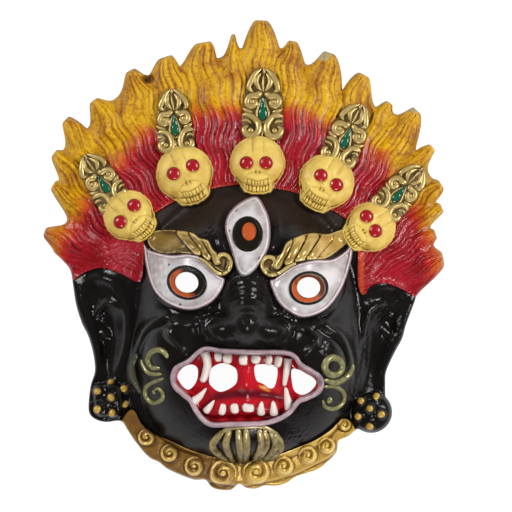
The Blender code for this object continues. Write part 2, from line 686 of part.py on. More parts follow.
def add_mouth(height, x, y):
    outline = smooth_path(MOUTH, closed=True)
    near = near_box(x, y, outline, 4.0)
    inset = inset_distance(x[near], y[near], outline)
    height[near] += LIP_RISE * np.sqrt(np.clip(1.0 - ((inset - LIP_LINE) / LIP_HALF_WIDTH) ** 2, 0.0, None))
    gums = [np.exp(-(((y[near] - row) / half_width) ** 2)) for row, half_width in (UPPER_GUM, LOWER_GUM)]
    gums = np.maximum(*gums) * (np.abs(x[near] - GUM_COLUMN) < GUM_HALF_WIDTH)
    height[near] += GUM_RISE * ease((inset - LIP_HALF_WIDTH) / 5.0) * gums
    add_ridge(height, x, y, TONGUE, TONGUE_HALF_WIDTH, GUM_RISE)
    for line, half_width in FANGS:
        add_ridge(height, x, y, line, half_width, FANG_RISE, 0.45)
    for column, root, tip in UPPER_TEETH + LOWER_TEETH:
        add_ridge(height, x, y, ((column, root), (column, tip)), TOOTH_HALF_WIDTH, TOOTH_RISE)


def add_nose(height, x, y):
    """Wrinkles across the bridge, and the dents of the nostrils."""
    across = x - NOSE_COLUMN
    fade = ease(2.0 * (1.0 - np.abs(across) / NOSE_WRINKLE_HALF_WIDTH))
    for row in NOSE_WRINKLE_ROWS:
        off_line = (y - row - NOSE_WRINKLE_SAG * across**2) / 1.8
        height -= WRINKLE_DEPTH * fade * np.exp(-(off_line**2))
    for dent in NOSTRIL_DENTS:
        height -= swell(x, y, dent, NOSTRIL_DENT_RADII, 2 * WRINKLE_DEPTH)


def add_cheeks(height, x, y):
    for line, half_width in CHEEK_FOLDS:
        path = smooth_path(line, spacing=3.0)
        near = near_box(x, y, path, 2.2 * half_width)
        gap, along = path_distance(x[near], y[near], path)
        height[near] += CHEEK_FOLD_RISE * np.sin(math.pi * along) * np.exp(-((gap / half_width) ** 2))
    for line, half_width in LEFT_CURLS + RIGHT_CURLS:
        add_ridge(height, x, y, line, half_width, CURL_RISE)


def add_beard(height, x, y):
    """A fan of locks on the chin, all from one root under the lip."""
    right, up = turned(x, y, BEARD_CENTRE, 0.0)
    across, along = np.abs(right / BEARD_RADII[0]), np.abs(up / BEARD_RADII[1])
    off = (across**BEARD_SQUARENESS + along**BEARD_SQUARENESS) ** (1 / BEARD_SQUARENESS)
    inside = ease((1.0 - off) * 8.0)
    fan = np.arctan2(x - BEARD_ROOT[0], y - BEARD_ROOT[1]) / BEARD_SPREAD
    groove = np.abs(np.sin(math.pi * BEARD_LOCKS * (fan + 0.5))) ** 0.5
    height += inside * (BEARD_RISE + BEARD_GROOVE * (groove - 1.0))


def add_ears(height, x, y):
    for line, half_width in (LEFT_EAR_RIM, RIGHT_EAR_RIM):
        add_ridge(height, x, y, line, half_width, EAR_RIM_RISE)
    for line, half_width in (LEFT_EAR_RIDGE, RIGHT_EAR_RIDGE):
        add_ridge(height, x, y, line, half_width, EAR_RIDGE_RISE)
    add_plaque(height, x, y, smooth_path(LEFT_LOBE, closed=True), LOBE_RISE, 4.0)
    height += dome(x, y, EARRING_CENTRE, (EARRING_RADIUS - 1.5,) * 2, 1.4 * LOBE_RISE)
    for stud in STUDS:
        height += dome(x, y, stud, (STUD_RADIUS, STUD_RADIUS), STUD_RISE)


def add_collar(height, x, y):
    add_ridge(height, x, y, COLLAR_LINE, COLLAR_HALF_WIDTH, COLLAR_RISE)
    for column, row, radius in COLLAR_SCROLLS:
        off = np.hypot(x - column, y - row) / radius
        ring = np.exp(-(((off - 0.55) / 0.16) ** 2))
        height += SCROLL_RISE * (np.sqrt(np.clip(1.0 - off**2, 0.0, None)) - 0.55 * ring)


def front_height(x, y, inset, hole_inset):
    """The carved face of the mask, rounded over at its outline and at the edges of its openings."""
    height = broad_height(x, y, inset)
    add_bosses(height, x, y)
    add_flames(height, x, y, inset)
    add_crown_lip(height, x, y)
    add_ears(height, x, y)
    add_collar(height, x, y)
    add_cheeks(height, x, y)
    add_nose(height, x, y)
    add_beard(height, x, y)
    add_mouth(height, x, y)
    add_eyes(height, x, y)
    add_brows(height, x, y)
    for crest in CRESTS:
        add_crest(height, x, y, *crest)
    for skull in SKULLS:
        add_skull(height, x, y, *skull)
    for gap in (inset, hole_inset):
        share = np.clip(gap * GRID / EDGE_ROUNDING, 0.0, 1.0)
        height -= EDGE_ROUNDING * (1.0 - np.sqrt(1.0 - (1.0 - share) ** 2))
    return height


def back_height(x, y, inset):
    """The hollow behind: a wall's thickness under the broad forms, with a flat rim round the edge."""
    step = 1.0
    form = broad_height(x, y, inset)
    slope_x = (broad_height(x + step, y, inset) - form) / (step * GRID)
    slope_y = (broad_height(x, y + step, inset) - form) / (step * GRID)
    under = form - WALL * np.sqrt(1.0 + np.minimum(slope_x**2 + slope_y**2, 4.0))
    side = HOLLOW_DRAFT * (inset * GRID - RIM_WIDTH)
    return np.clip(soft_min(under, side, 0.003), 0.0, None)


# From heights to one closed shell

def lattice(low, high, spacing):
    """Points in staggered rows across a rectangle."""
    rows = np.arange(low[1], high[1], spacing * math.sqrt(0.75))
    columns = np.arange(low[0], high[0], spacing)
    x, y = np.meshgrid(columns, rows)
    x[1::2] += spacing / 2
    return x.ravel(), y.ravel()


def triangulate(points, edges, outline, holes):
    """Triangles between the outline and the holes, through all the given points and along all given edges."""
    corners, _, faces, *_ = delaunay_2d_cdt([tuple(p) for p in points], edges, [], 0, 1e-5)
    corners = np.array([tuple(c) for c in corners])
    faces = np.array([f if len(f) == 3 else f[:3] for f in faces])
    middle = corners[faces].mean(axis=1)
    kept = is_inside(middle[:, 0], middle[:, 1], outline)
    for hole in holes:
        kept &= ~is_inside(middle[:, 0], middle[:, 1], hole)
    faces = faces[kept]
    a, b, c = (corners[faces[:, k]] for k in range(3))
    # Rows count down, so a triangle that faces the viewer has a negative turn on the grid.
    turn = (b[:, 0] - a[:, 0]) * (c[:, 1] - a[:, 1]) - (b[:, 1] - a[:, 1]) * (c[:, 0] - a[:, 0])
    faces[turn > 0] = faces[turn > 0][:, ::-1]
    used, index = np.unique(faces, return_inverse=True)
    return corners[used], index.reshape(faces.shape)


def loop_edges(loops):
    """The loops' points in one list, and the edges that join each loop up."""
    points, edges = [], []
    for loop in loops:
        first, count = len(points), len(loop)
        points.extend(loop)
        edges.extend((first + k, first + (k + 1) % count) for k in range(count))
    return points, edges


def rim_edges(faces):
    """The edges that only one triangle has, in that triangle's direction."""
    ends = np.concatenate([faces[:, [0, 1]], faces[:, [1, 2]], faces[:, [2, 0]]])
    ordered = np.sort(ends, axis=1)
    _, first, count = np.unique(ordered, axis=0, return_index=True, return_counts=True)
    return ends[first[count == 1]]


def insets_at(points, outline, holes):
    x, y = points[:, 0], points[:, 1]
    hole_inset = np.full(x.shape, 1e3)
    for hole in holes:
        near = near_box(x, y, hole, 12.0)
        gap, _ = path_distance(x[near], y[near], hole, closed=True)
        hole_inset[near] = np.minimum(hole_inset[near], gap)
    return path_distance(x, y, outline, closed=True)[0], hole_inset


def carving_lines():
    """Loops that the facets follow, one just outside and one just inside each raised edge."""
    lines = []
    for skull in SKULLS:
        lines += [skull_outline(*skull, grow=grow) for grow in (0.3, -1.4)]
    for crest in CRESTS:
        lines += [crest_outline(*crest, grow=grow) for grow in (0.3, -1.6)]
    for outline in (LEFT_EYE, RIGHT_EYE, THIRD_EYE, MOUTH, LEFT_BROW, RIGHT_BROW):
        lines.append(smooth_path(outline, closed=True))
    return lines


def clear_of(x, y, loops, gap):
    clear = np.ones(x.shape, bool)
    for loop in loops:
        near = near_box(x, y, loop, gap)
        clear[near] &= path_distance(x[near], y[near], loop, closed=True)[0] > gap
    return clear


def front_surface(outline, holes):
    carving = carving_lines()
    loops = [outline, *holes]
    x, y = lattice(outline.min(axis=0), outline.max(axis=0), FRONT_SPACING)
    kept = is_inside(x, y, outline)
    x, y = x[kept], y[kept]
    kept = clear_of(x, y, loops, 0.8 * FRONT_SPACING) & clear_of(x, y, carving, 0.5 * FRONT_SPACING)
    points, edges = loop_edges(loops + carving)
    points.extend(zip(x[kept], y[kept]))
    return triangulate(points, edges, outline, holes)


def back_surface(front, faces, outline, holes):
    """A coarser surface whose rim has the same points as the front's."""
    rim = rim_edges(faces)
    used, index = np.unique(rim, return_inverse=True)
    x, y = lattice(outline.min(axis=0), outline.max(axis=0), BACK_SPACING)
    kept = is_inside(x, y, outline)
    x, y = x[kept], y[kept]
    kept = clear_of(x, y, [outline, *holes], 0.6 * BACK_SPACING)
    points = [*front[used], *zip(x[kept], y[kept])]
    return triangulate(points, [tuple(e) for e in index.reshape(rim.shape)], outline, holes)


def in_metres(points, height):
    """From grid places to metres, with the mask turned upright."""
    right = (points[:, 0] - FLAME_CENTRE[0]) * GRID
    up = (FLAME_CENTRE[1] - points[:, 1]) * GRID
    c, s = math.cos(LEAN), math.sin(LEAN)
    return np.column_stack([right * c - up * s, right * s + up * c, height])


def mask_shell():
    """Vertices and triangles of the whole closed shell, before its facets are thinned."""
    outline, holes = mask_outline(), openings()
    front, front_faces = front_surface(outline, holes)
    back, back_faces = back_surface(front, front_faces, outline, holes)
    inset, hole_inset = insets_at(front, outline, holes)
    front_z = front_height(front[:, 0], front[:, 1], inset, hole_inset)
    back_inset, _ = insets_at(back, outline, holes)
    back_z = back_height(back[:, 0], back[:, 1], back_inset)
    first_back = len(front)
    back_index = {tuple(np.round(p, 4)): first_back + k for k, p in enumerate(back)}
    walls = []
    for a, b in rim_edges(front_faces):
        below_a, below_b = (back_index[tuple(np.round(front[end], 4))] for end in (a, b))
        walls += [(b, a, below_a), (b, below_a, below_b)]
    vertices = np.vstack([in_metres(front, front_z), in_metres(back, back_z)])
    return vertices, np.vstack([front_faces, back_faces[:, ::-1] + first_back, walls])


def thinned(mesh, facets):
    """The same mesh with its facets merged where it is flattest, down to the number asked for."""
    mesh.transform(Matrix.Diagonal((1.0, 1.0, HEIGHT_WEIGHT, 1.0)))
    helper = bpy.data.objects.new("uncut", mesh)
    bpy.context.scene.collection.objects.link(helper)
    cut = helper.modifiers.new("facets", "DECIMATE")
    cut.ratio = facets / len(mesh.polygons)
    cut.use_collapse_triangulate = True
    bpy.context.view_layer.update()
    result = bpy.data.meshes.new_from_object(helper.evaluated_get(bpy.context.evaluated_depsgraph_get()))
    bpy.data.objects.remove(helper)
    result.transform(Matrix.Diagonal((1.0, 1.0, 1.0 / HEIGHT_WEIGHT, 1.0)))
    return result


def settle(mesh):
    """Puts the rim's points back on the plane that merging lifts them from, and centres the mask."""
    places = np.array([vertex.co for vertex in mesh.vertices])
    middle = (places.min(axis=0) + places.max(axis=0)) / 2
    for vertex in mesh.vertices:
        vertex.co.x -= middle[0]
        vertex.co.y -= middle[1]
        if vertex.co.z < 0.1 * WALL:
            vertex.co.z = 0.0


def mask_material():
    material = bpy.data.materials.new("gloss black enamel")
    material.use_nodes = True
    shader = material.node_tree.nodes["Principled BSDF"]
    shader.inputs["Base Color"].default_value = (0.012, 0.010, 0.009, 1.0)
    shader.inputs["Roughness"].default_value = 0.22
    shader.inputs["Metallic"].default_value = 0.0
    return material


def build_mask():
    vertices, faces = mask_shell()
    mesh = bpy.data.meshes.new("mask")
    mesh.from_pydata(vertices.tolist(), [], faces.tolist())
    mesh.validate()
    mesh = thinned(mesh, FACETS)
    settle(mesh)
    mesh.materials.append(mask_material())
    mesh.shade_smooth()
    mesh.set_sharp_from_angle(angle=math.radians(35))
    mask = bpy.data.objects.new("mask", mesh)
    bpy.context.scene.collection.objects.link(mask)
    return mask


def main():
    for old in list(bpy.data.objects):
        bpy.data.objects.remove(old)
    build_mask()


main()
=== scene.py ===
"""The painted finish of a three-eyed guardian mask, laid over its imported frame.

The mask lies face up on a pale floor: +X to the viewer's right, +Y to the crown, +Z out of the face. Places
in its plan are given on a carver's grid, as (column, row), columns counted to the right and rows down, and so
are widths, reaches and radii. Heights and depths are real sizes in metres. Every piece is carved or laid on
the same broad forms as the frame's solid.
"""

import functools
import math

import bpy
import numpy as np
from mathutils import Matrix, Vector
from mathutils.geometry import delaunay_2d_cdt
from mathutils.kdtree import KDTree


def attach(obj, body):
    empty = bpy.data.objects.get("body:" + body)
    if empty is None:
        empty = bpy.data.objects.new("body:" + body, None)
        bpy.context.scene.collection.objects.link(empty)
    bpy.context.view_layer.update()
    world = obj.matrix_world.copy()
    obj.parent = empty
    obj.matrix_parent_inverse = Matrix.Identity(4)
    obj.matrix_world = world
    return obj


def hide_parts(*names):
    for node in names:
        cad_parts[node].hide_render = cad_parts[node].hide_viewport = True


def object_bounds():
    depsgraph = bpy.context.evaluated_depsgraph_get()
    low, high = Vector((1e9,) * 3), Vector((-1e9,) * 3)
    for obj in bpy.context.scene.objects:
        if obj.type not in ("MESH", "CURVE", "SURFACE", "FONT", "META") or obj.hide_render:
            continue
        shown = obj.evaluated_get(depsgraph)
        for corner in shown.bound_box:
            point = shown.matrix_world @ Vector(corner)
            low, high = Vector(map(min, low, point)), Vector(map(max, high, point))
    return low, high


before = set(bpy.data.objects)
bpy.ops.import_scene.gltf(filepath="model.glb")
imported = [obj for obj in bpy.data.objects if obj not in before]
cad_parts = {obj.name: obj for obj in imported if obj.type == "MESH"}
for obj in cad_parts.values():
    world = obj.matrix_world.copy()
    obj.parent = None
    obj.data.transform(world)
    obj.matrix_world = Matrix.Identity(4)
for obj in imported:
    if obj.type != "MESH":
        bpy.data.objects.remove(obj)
CAD_BOX = [list(corner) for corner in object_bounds()]

bl_info = {
    "name": "Guardian mask",
    "version": (1, 0, 0),
    "blender": (4, 5, 0),
    "location": "3D View > Sidebar > Mask",
    "description": "Carves and paints a three-eyed guardian mask over its packed frame",
    "category": "Object",
}

# The whole mask and its carver's grid
GRID = 0.2826 / 471
LEAN = math.radians(2.4)
MASK_NODE = "mask"
BODY = "root"
# The outline is drawn this much smaller than the solid's, so that every piece stays inside its box
INSIDE_SHARE = 0.9985

# Edges steeper than this stay sharp when a piece is shaded smooth
SHARP_ANGLE = math.radians(50.0)

# Walls and edges of the casting
EDGE_THICKNESS = 0.0045
EDGE_ROUNDING = 0.0018
EDGE_SLOPE = 0.75
WALL = 0.004
RIM_WIDTH = 0.0075
HOLLOW_DRAFT = 1.6

# Heights above the back
CROWN_TIP_HEIGHT = 0.0055
CROWN_ROOT_HEIGHT = 0.025
FACE_EDGE_HEIGHT = 0.010
FACE_HEIGHT = 0.054
MOUTH_DEPTH = 0.008
# Nothing rises nearer than this to the top of the solid's box
TOP_CLEARANCE = 0.0002

# The flame tongues, counter-clockwise from the right: the tip's angle and reach, how hollow its near and far
# sides are, then the angle and reach of the valley after it. Angles are in degrees about FLAME_CENTRE.
FLAME_CENTRE = (246.0, 300.0)
TONGUES = (
    (12.0, 203.2, 1.0, 1.0, 16.3, 196.6),
    (19.3, 202.5, 0.8, 0.8, 21.3, 199.0),
    (24.8, 218.3, 1.0, 0.6, 27.2, 214.5),
    (30.6, 228.6, 0.6, 1.0, 33.5, 223.5),
    (39.0, 243.0, 2.0, 0.4, 41.3, 227.3),
    (48.7, 257.0, 0.7, 1.8, 51.8, 239.5),
    (53.8, 245.6, 1.0, 0.6, 56.0, 233.7),
    (62.4, 256.0, 1.0, 0.4, 65.3, 231.8),
    (72.0, 262.8, 0.6, 1.5, 75.8, 244.3),
    (80.2, 265.0, 0.7, 1.6, 82.4, 255.5),
    (87.0, 282.0, 0.6, 0.6, 90.9, 253.0),
    (92.6, 268.0, 2.2, 1.8, 96.9, 244.8),
    (99.3, 263.0, 0.3, 0.8, 105.9, 244.0),
    (107.8, 258.0, 0.5, 0.7, 113.3, 246.5),
    (116.5, 259.0, 1.2, 1.35, 123.4, 241.5),
    (127.4, 253.0, 1.2, 1.2, 132.9, 235.0),
    (135.0, 257.0, 0.4, 1.2, 140.7, 238.0),
    (142.5, 243.5, 0.8, 0.9, 147.6, 223.5),
    (149.2, 226.5, 0.6, 1.1, 156.5, 197.0),
    (161.3, 214.4, 1.1, 1.0, 166.5, 199.0),
)
FLAME_END = (416, 301)
FLAME_START = (
    math.degrees(math.atan2(FLAME_CENTRE[1] - FLAME_END[1], FLAME_END[0] - FLAME_CENTRE[0])),
    math.dist(FLAME_END, FLAME_CENTRE),
)
# How much further each side of a tip would run, and how far below its reach the tip is cut off round
TIP_BLUNTNESS = 2.6
TIP_CUT = 0.4
CHIP_BED = ((147.5, 77.5), (7.5, 6.0), 0.0028)

# Below the crown: left ear with its lobe, collar with its lobed scrolls, right ear with its round earring
LOWER_EDGE = (
    (60, 259), (69, 270), (72, 286), (75, 305), (81, 324), (87, 336), (92, 353), (94, 371), (90, 385),
    (88, 399), (88, 413), (94, 420), (105, 423), (120, 422), (127, 431), (135, 443), (148, 458), (158, 463),
    (167, 470), (180, 476), (194, 481), (205, 481), (211, 488), (219, 491), (231, 491), (239, 485),
    (246, 489), (256, 490), (264, 487), (277, 487), (287, 484), (296, 478), (308, 474), (319, 470),
    (329, 462), (337, 453), (339, 442), (349, 437), (357, 430),
)
EARRING_CENTRE = (372, 413)
EARRING_RADIUS = 21.0
EARRING_ARC = (-125.0, 48.0)
RIGHT_EAR_EDGE = ((386, 384), (387, 372), (395, 354), (403, 339), (407, 325))

# Where the red crown meets the black face and ears, and where the face meets the collar, from left to right
CROWN_SEAM = (
    (72, 281), (85, 272), (101, 268), (119, 273), (137, 282), (142, 276), (143, 262), (144, 240), (146, 222),
    (153, 214), (173, 202), (192, 194), (214, 188), (237, 184.5), (258, 186), (280, 189), (297, 193),
    (320, 204), (344, 217), (354, 231), (358, 250), (358, 280), (361, 293), (366, 294), (370, 287),
    (384, 283), (402, 289), (417, 298),
)
COLLAR_SEAM = (
    (122, 420), (128, 412), (134, 412), (142, 426), (155, 435), (170, 442), (188, 450), (209, 457),
    (232, 461), (256, 462), (282, 454), (298, 448), (313, 442), (325, 435), (333, 429), (342, 420),
    (350, 421), (355, 430),
)

# Openings cut right through
PUPILS = (
    ((187.0, 282.3), (12.0, 10.5), -12.0),
    ((308.4, 287.4), (12.0, 10.7), 0.0),
)
MOUTH_HOLES = (
    ((177, 376), (183, 367), (192, 364), (198, 368), (198, 378), (194, 386), (188, 390), (181, 385)),
    ((209, 376), (212, 367), (222, 362.5), (232, 365), (237.5, 371), (236, 384), (221, 392), (210, 385)),
    ((254, 367), (259, 363.6), (275, 365), (278, 373), (275, 386), (270, 388.5), (263, 384), (256, 380)),
    ((291, 370), (298, 369), (306, 373), (314, 378), (316.5, 384), (310, 392), (301, 395), (293, 389)),
)

# Face: the black part's outline is two half ellipses, square-shouldered below
FACE_CENTRE = (247.0, 312.0)
FACE_HALF_WIDTH = 118.0
FACE_TOP = 130.0
FACE_DROP = 150.0
FACE_JAW_SQUARENESS = 2.7
FACE_FULLNESS = 2.3
FACE_EDGE_STEEPNESS = 0.6
CROWN_REACH = 2.05

# Broad swells of the face: middle, half widths and rise
SWELLS = (
    ((187, 243), (56, 26), 0.006),
    ((306, 247), (56, 26), 0.006),
    ((187, 281), (52, 46), 0.004),
    ((309, 287), (52, 46), 0.004),
    ((247, 296), (30, 52), 0.011),
    ((247, 327), (50, 32), 0.009),
    ((162, 345), (44, 50), 0.009),
    ((331, 350), (44, 50), 0.009),
    ((247, 385), (104, 68), 0.009),
    ((247, 446), (64, 30), 0.007),
)
# Round bosses cast solid: the eyeballs and the right earring. Middle, half widths, rise and turn
BOSSES = (
    ((187, 281), (37, 31), 0.0048, -14),
    ((309, 287), (37, 31), 0.0048, 12),
    (EARRING_CENTRE, (EARRING_RADIUS - 1.5, EARRING_RADIUS - 1.5), 0.0049, 0),
)
# Small soft mounds of the nose and ears, the same way; a negative rise is a bowl
MOUNDS = (
    ((247, 327), (39, 26), 0.0056, 0),
    ((213, 331), (25, 19), 0.0052, 0),
    ((281, 333), (25, 19), 0.0052, 0),
    ((104.5, 335), (7.5, 10), 0.0026, 20),
    ((386.5, 331), (5.5, 11), 0.0016, 25),
    ((110, 322), (14, 20), -0.0026, 0),
    ((104, 356), (8, 18), -0.0018, 0),
    ((386, 322), (14, 20), -0.0026, 0),
    ((236, 343), (8, 5), -0.0007, 0),
    ((259, 343), (8, 5), -0.0007, 0),
)
LEFT_LOBE = ((92, 388), (104, 383), (120, 385), (124, 400), (120, 417), (106, 419), (94, 415))
LOBE_RISE = 0.0035

# Ridges of the ears and cheeks: line, half width and rise; a negative rise is a groove
RIDGES = (
    (((79, 284), (81, 300), (87, 318), (93, 336), (98, 354), (101, 374)), 6.5, 0.0036),
    (((82, 286), (94, 279), (109, 281), (120, 292)), 5.5, 0.0028),
    (((121, 292), (126, 312), (126, 332), (121, 358), (112, 384)), 5.5, 0.0030),
    (((95, 320), (99, 309), (108, 303), (116, 307)), 4.2, 0.0028),
    (((412, 302), (404, 322), (397, 340), (387, 358), (381, 378)), 6.5, 0.0036),
    (((370, 290), (384, 285), (398, 288), (409, 298)), 4.5, 0.0022),
    (((369, 314), (365, 326), (363, 344), (362, 366), (359, 388)), 5.0, 0.0034),
    (((367, 322), (370, 312), (378, 306), (389, 305)), 4.2, 0.0028),
    (((134, 388), (132, 362), (143, 330), (168, 314)), 4.0, 0.0026),
    (((352, 400), (353, 364), (343, 337), (322, 322)), 4.0, 0.0026),
    (((186, 352), (168, 334), (176, 318)), 3.5, 0.0026),
    (((306, 352), (318, 340), (306, 326)), 3.5, 0.0026),
    (((142, 372), (140, 352), (150, 332), (172, 322)), 2.2, -0.0012),
    (((344, 378), (345, 358), (336, 342), (318, 332)), 2.2, -0.0012),
    (((226, 262), (226, 280), (214, 300)), 2.4, -0.0016),
    (((270, 268), (268, 284), (280, 303)), 2.4, -0.0016),
    (((224, 208), (219, 222), (220, 240), (227, 256)), 3.6, 0.0016),
    (((276, 208), (278, 224), (277, 240), (272, 254)), 3.6, 0.0014),
    (((214, 309), (204, 319), (189, 322), (171, 319), (155, 308)), 3.4, 0.0018),
    (((281, 311), (291, 324), (307, 327), (324, 321), (339, 306)), 3.4, 0.0018),
    (((231, 318), (220, 313), (206, 315), (199, 324), (200, 335), (209, 344)), 2.4, -0.0011),
    (((263, 320), (275, 315), (287, 318), (294, 327), (292, 337), (284, 345)), 2.4, -0.0011),
    (((224, 324), (214, 320), (207, 327), (211, 335)), 2.2, -0.0008),
    (((270, 326), (280, 321), (287, 328), (283, 336)), 2.2, -0.0008),
)
# Places where the enamel lies thick and lumpy, and catches the light: middle and half widths
LUMPY_PLACES = (
    ((209, 231), (13, 17)), ((331, 229), (16, 8)), ((286, 313), (26, 13)), ((252, 319), (20, 9)),
    ((97, 312), (17, 26)), ((104, 340), (10, 18)), ((383, 312), (24, 20)), ((364, 350), (8, 34)),
    ((321, 347), (13, 11)), ((230, 340), (26, 8)), ((398, 340), (10, 30)), ((107, 404), (24, 22)),
    ((371, 414), (20, 20)), ((300, 440), (22, 14)),
)
LUMP_HEIGHT = 0.00034
LUMP_SCALES = (1.3, 0.75)
NOSE_COLUMN = 247.0
NOSE_WRINKLE_ROWS = (276, 283, 290, 297, 304, 311)
NOSE_WRINKLE_HALF_WIDTH = 20.0
NOSE_WRINKLE_SAG = 0.02
NOSE_WRINKLE_DEPTH = 0.00035


# Small shapes and curves on the grid

def ease(value):
    """0 below 0, 1 above 1, and a smooth step between."""
    value = np.clip(value, 0.0, 1.0)
    return value * value * (3.0 - 2.0 * value)


def uneased(value):
    """The share that ease takes to the given value."""
    return 0.5 - np.sin(np.arcsin(1.0 - 2.0 * np.clip(value, 0.0, 1.0)) / 3.0)


def soft_min(first, second, blend):
    mix = np.clip(0.5 + 0.5 * (second - first) / blend, 0.0, 1.0)
    return second * (1.0 - mix) + first * mix - blend * mix * (1.0 - mix)


def soft_max(first, second, blend):
    return -soft_min(-first, -second, blend)


def smooth_path(points, closed=False, spacing=1.0):
    """A curve through hand-placed points, as points about the given spacing apart."""
    points = np.asarray(points, float)
    count = len(points)
    spans = count if closed else count - 1
    curve = []
    for index in range(spans):
        if closed:
            before, start, end, after = (points[(index + shift) % count] for shift in (-1, 0, 1, 2))
        else:
            start, end = points[index], points[index + 1]
            before = points[index - 1] if index else 2 * start - end
            after = points[index + 2] if index + 2 < count else 2 * end - start
        pieces = max(1, round(math.dist(start[:2], end[:2]) / spacing))
        for step in range(pieces):
            t = step / pieces
            curve.append(
                0.5 * (2 * start + (end - before) * t + (2 * before - 5 * start + 4 * end - after) * t**2
                       + (3 * start - before - 3 * end + after) * t**3)
            )
    if not closed:
        curve.append(points[-1])
    return np.array(curve)


def polar(centre, reach, angles):
    """Places at some reach from a centre, their angles in radians counter-clockwise from the right."""
    return np.column_stack([centre[0] + reach * np.cos(angles), centre[1] - reach * np.sin(angles)])


def arc(centre, radius, first, last):
    """Points on a circle, from one angle to another, in degrees."""
    pieces = max(2, round(math.radians(abs(last - first)) * radius))
    return polar(centre, radius, np.radians(np.linspace(first, last, pieces + 1)))


def ellipse(centre, radii, turn=0.0):
    angles = np.linspace(0.0, 2 * math.pi, max(12, round(math.pi * sum(radii))), endpoint=False)
    return placed(radii[0] * np.cos(angles), radii[1] * np.sin(angles), centre, turn)


def spiral(centre, radius, start, turns, inner_share, spacing):
    """A scroll that winds inwards from its outer end; a negative count of turns winds the other way."""
    pieces = max(10, round(abs(turns) * 2 * math.pi * radius * 0.6 / spacing))
    share = np.linspace(0.0, 1.0, pieces + 1)
    angles = math.radians(start) + 2 * math.pi * turns * share
    return polar(centre, radius * (1.0 - (1.0 - inner_share) * share), angles)


def drawn_in(loop, amount):
    """A closed outline moved in towards its middle."""
    off = loop - loop.mean(axis=0)
    return loop - off * (amount / np.hypot(*off.T))[:, None]


def even_loop(loop, spacing):
    """The same closed outline with its points an even distance apart."""
    closed = np.vstack([loop, loop[:1]])
    lengths = np.concatenate([[0.0], np.cumsum(np.hypot(*np.diff(closed, axis=0).T))])
    places = np.linspace(0.0, lengths[-1], round(lengths[-1] / spacing), endpoint=False)
    return np.column_stack([np.interp(places, lengths, closed[:, axis]) for axis in (0, 1)])


def path_distance(x, y, path, closed=False):
    """How far each point is from a path, and how far along it its nearest place lies, from 0 to 1."""
    path = np.asarray(path, float)
    if closed:
        path = np.vstack([path, path[:1]])
    steps = np.diff(path, axis=0)
    lengths = np.maximum(np.hypot(*steps.T), 1e-9)
    travelled = 0.0
    nearest = np.full(x.shape, np.inf)
    along = np.zeros(x.shape)
    for start, step, length in zip(path[:-1], steps, lengths):
        share = np.clip(((x - start[0]) * step[0] + (y - start[1]) * step[1]) / length**2, 0.0, 1.0)
        gap = np.hypot(x - start[0] - share * step[0], y - start[1] - share * step[1])
        closer = gap < nearest
        nearest[closer] = gap[closer]
        along[closer] = travelled + share[closer] * length
        travelled += length
    return nearest, along / travelled


def is_inside(x, y, outline):
    """Which points lie inside a closed outline. Each edge is tried only on the points in its rows."""
    order = np.argsort(y, kind="stable")
    columns, rows = x[order], y[order]
    inside = np.zeros(len(x), bool)
    for (ax, ay), (bx, by) in zip(outline, np.roll(outline, -1, axis=0)):
        first, last = np.searchsorted(rows, (min(ay, by), max(ay, by)))
        if first < last:
            crossing = (bx - ax) * (rows[first:last] - ay) / (by - ay) + ax
            inside[first:last] ^= columns[first:last] < crossing
    found = np.empty(len(x), bool)
    found[order] = inside
    return found


def near_box(x, y, points, margin):
    low = np.min(points, axis=0) - margin
    high = np.max(points, axis=0) + margin
    return (x > low[0]) & (x < high[0]) & (y > low[1]) & (y < high[1])


def turned(x, y, centre, turn):
    """Places in a feature's own frame: right and up, after its turn."""
    right, up = x - centre[0], centre[1] - y
    c, s = math.cos(math.radians(turn)), math.sin(math.radians(turn))
    return right * c + up * s, up * c - right * s


def placed(right, up, centre, turn):
    """The other way: from a feature's own frame to the grid."""
    c, s = math.cos(math.radians(turn)), math.sin(math.radians(turn))
    return np.column_stack([centre[0] + right * c - up * s, centre[1] - right * s - up * c])


def bell(value, middle, width):
    """1 at the middle value, and dying away on both sides of it."""
    return np.exp(-(((value - middle) / width) ** 2))


def rounded(value):
    """1 at the value 0, and 0 beyond 1, like the side of a ball."""
    return np.sqrt(np.clip(1.0 - value**2, 0.0, None))


def swell(x, y, centre, radii, rise, turn=0.0):
    """A broad soft mound that dies away at its edge."""
    right, up = turned(x, y, centre, turn)
    return rise * np.clip(1.0 - (right / radii[0]) ** 2 - (up / radii[1]) ** 2, 0.0, None) ** 2


def dome(x, y, centre, radii, rise, turn=0.0):
    """A round boss with a clear edge."""
    right, up = turned(x, y, centre, turn)
    return rise * rounded(np.hypot(right / radii[0], up / radii[1]))


def ridge(x, y, line, half_width, rise, taper=0.0, soft=False):
    """The height of a round ridge along a line, thinner towards its end by the given share."""
    path = smooth_path(line, spacing=2.0)
    height = np.zeros(x.shape)
    near = near_box(x, y, path, 2.5 * half_width)
    gap, along = path_distance(x[near], y[near], path)
    reach = gap / (half_width * (1.0 - taper * along))
    if soft:
        height[near] = rise * bell(reach, 0.0, 1.0) * np.sin(math.pi * np.clip(along, 0.03, 0.97)) ** 0.5
    else:
        height[near] = rise * rounded(reach)
    return height


def waver(x, y, scale, seed):
    """Smooth uneven values from -1 to 1, made of a few crossed waves."""
    total = np.zeros(np.shape(x))
    for turn in range(4):
        direction = 2.4 * turn + 0.7 * seed
        across = (x * math.cos(direction) + y * math.sin(direction)) / scale
        total += np.sin(across * (1.0 + 0.37 * turn) + 1.7 * seed + 2.1 * turn)
    return total / 4.0


def scatter(number, seed):
    """A fixed uneven value from 0 to 1 for each whole number."""
    large = np.sin(number * 12.9898 + seed * 78.233) * 43758.5453
    return large - np.floor(large)


# The mask's outline

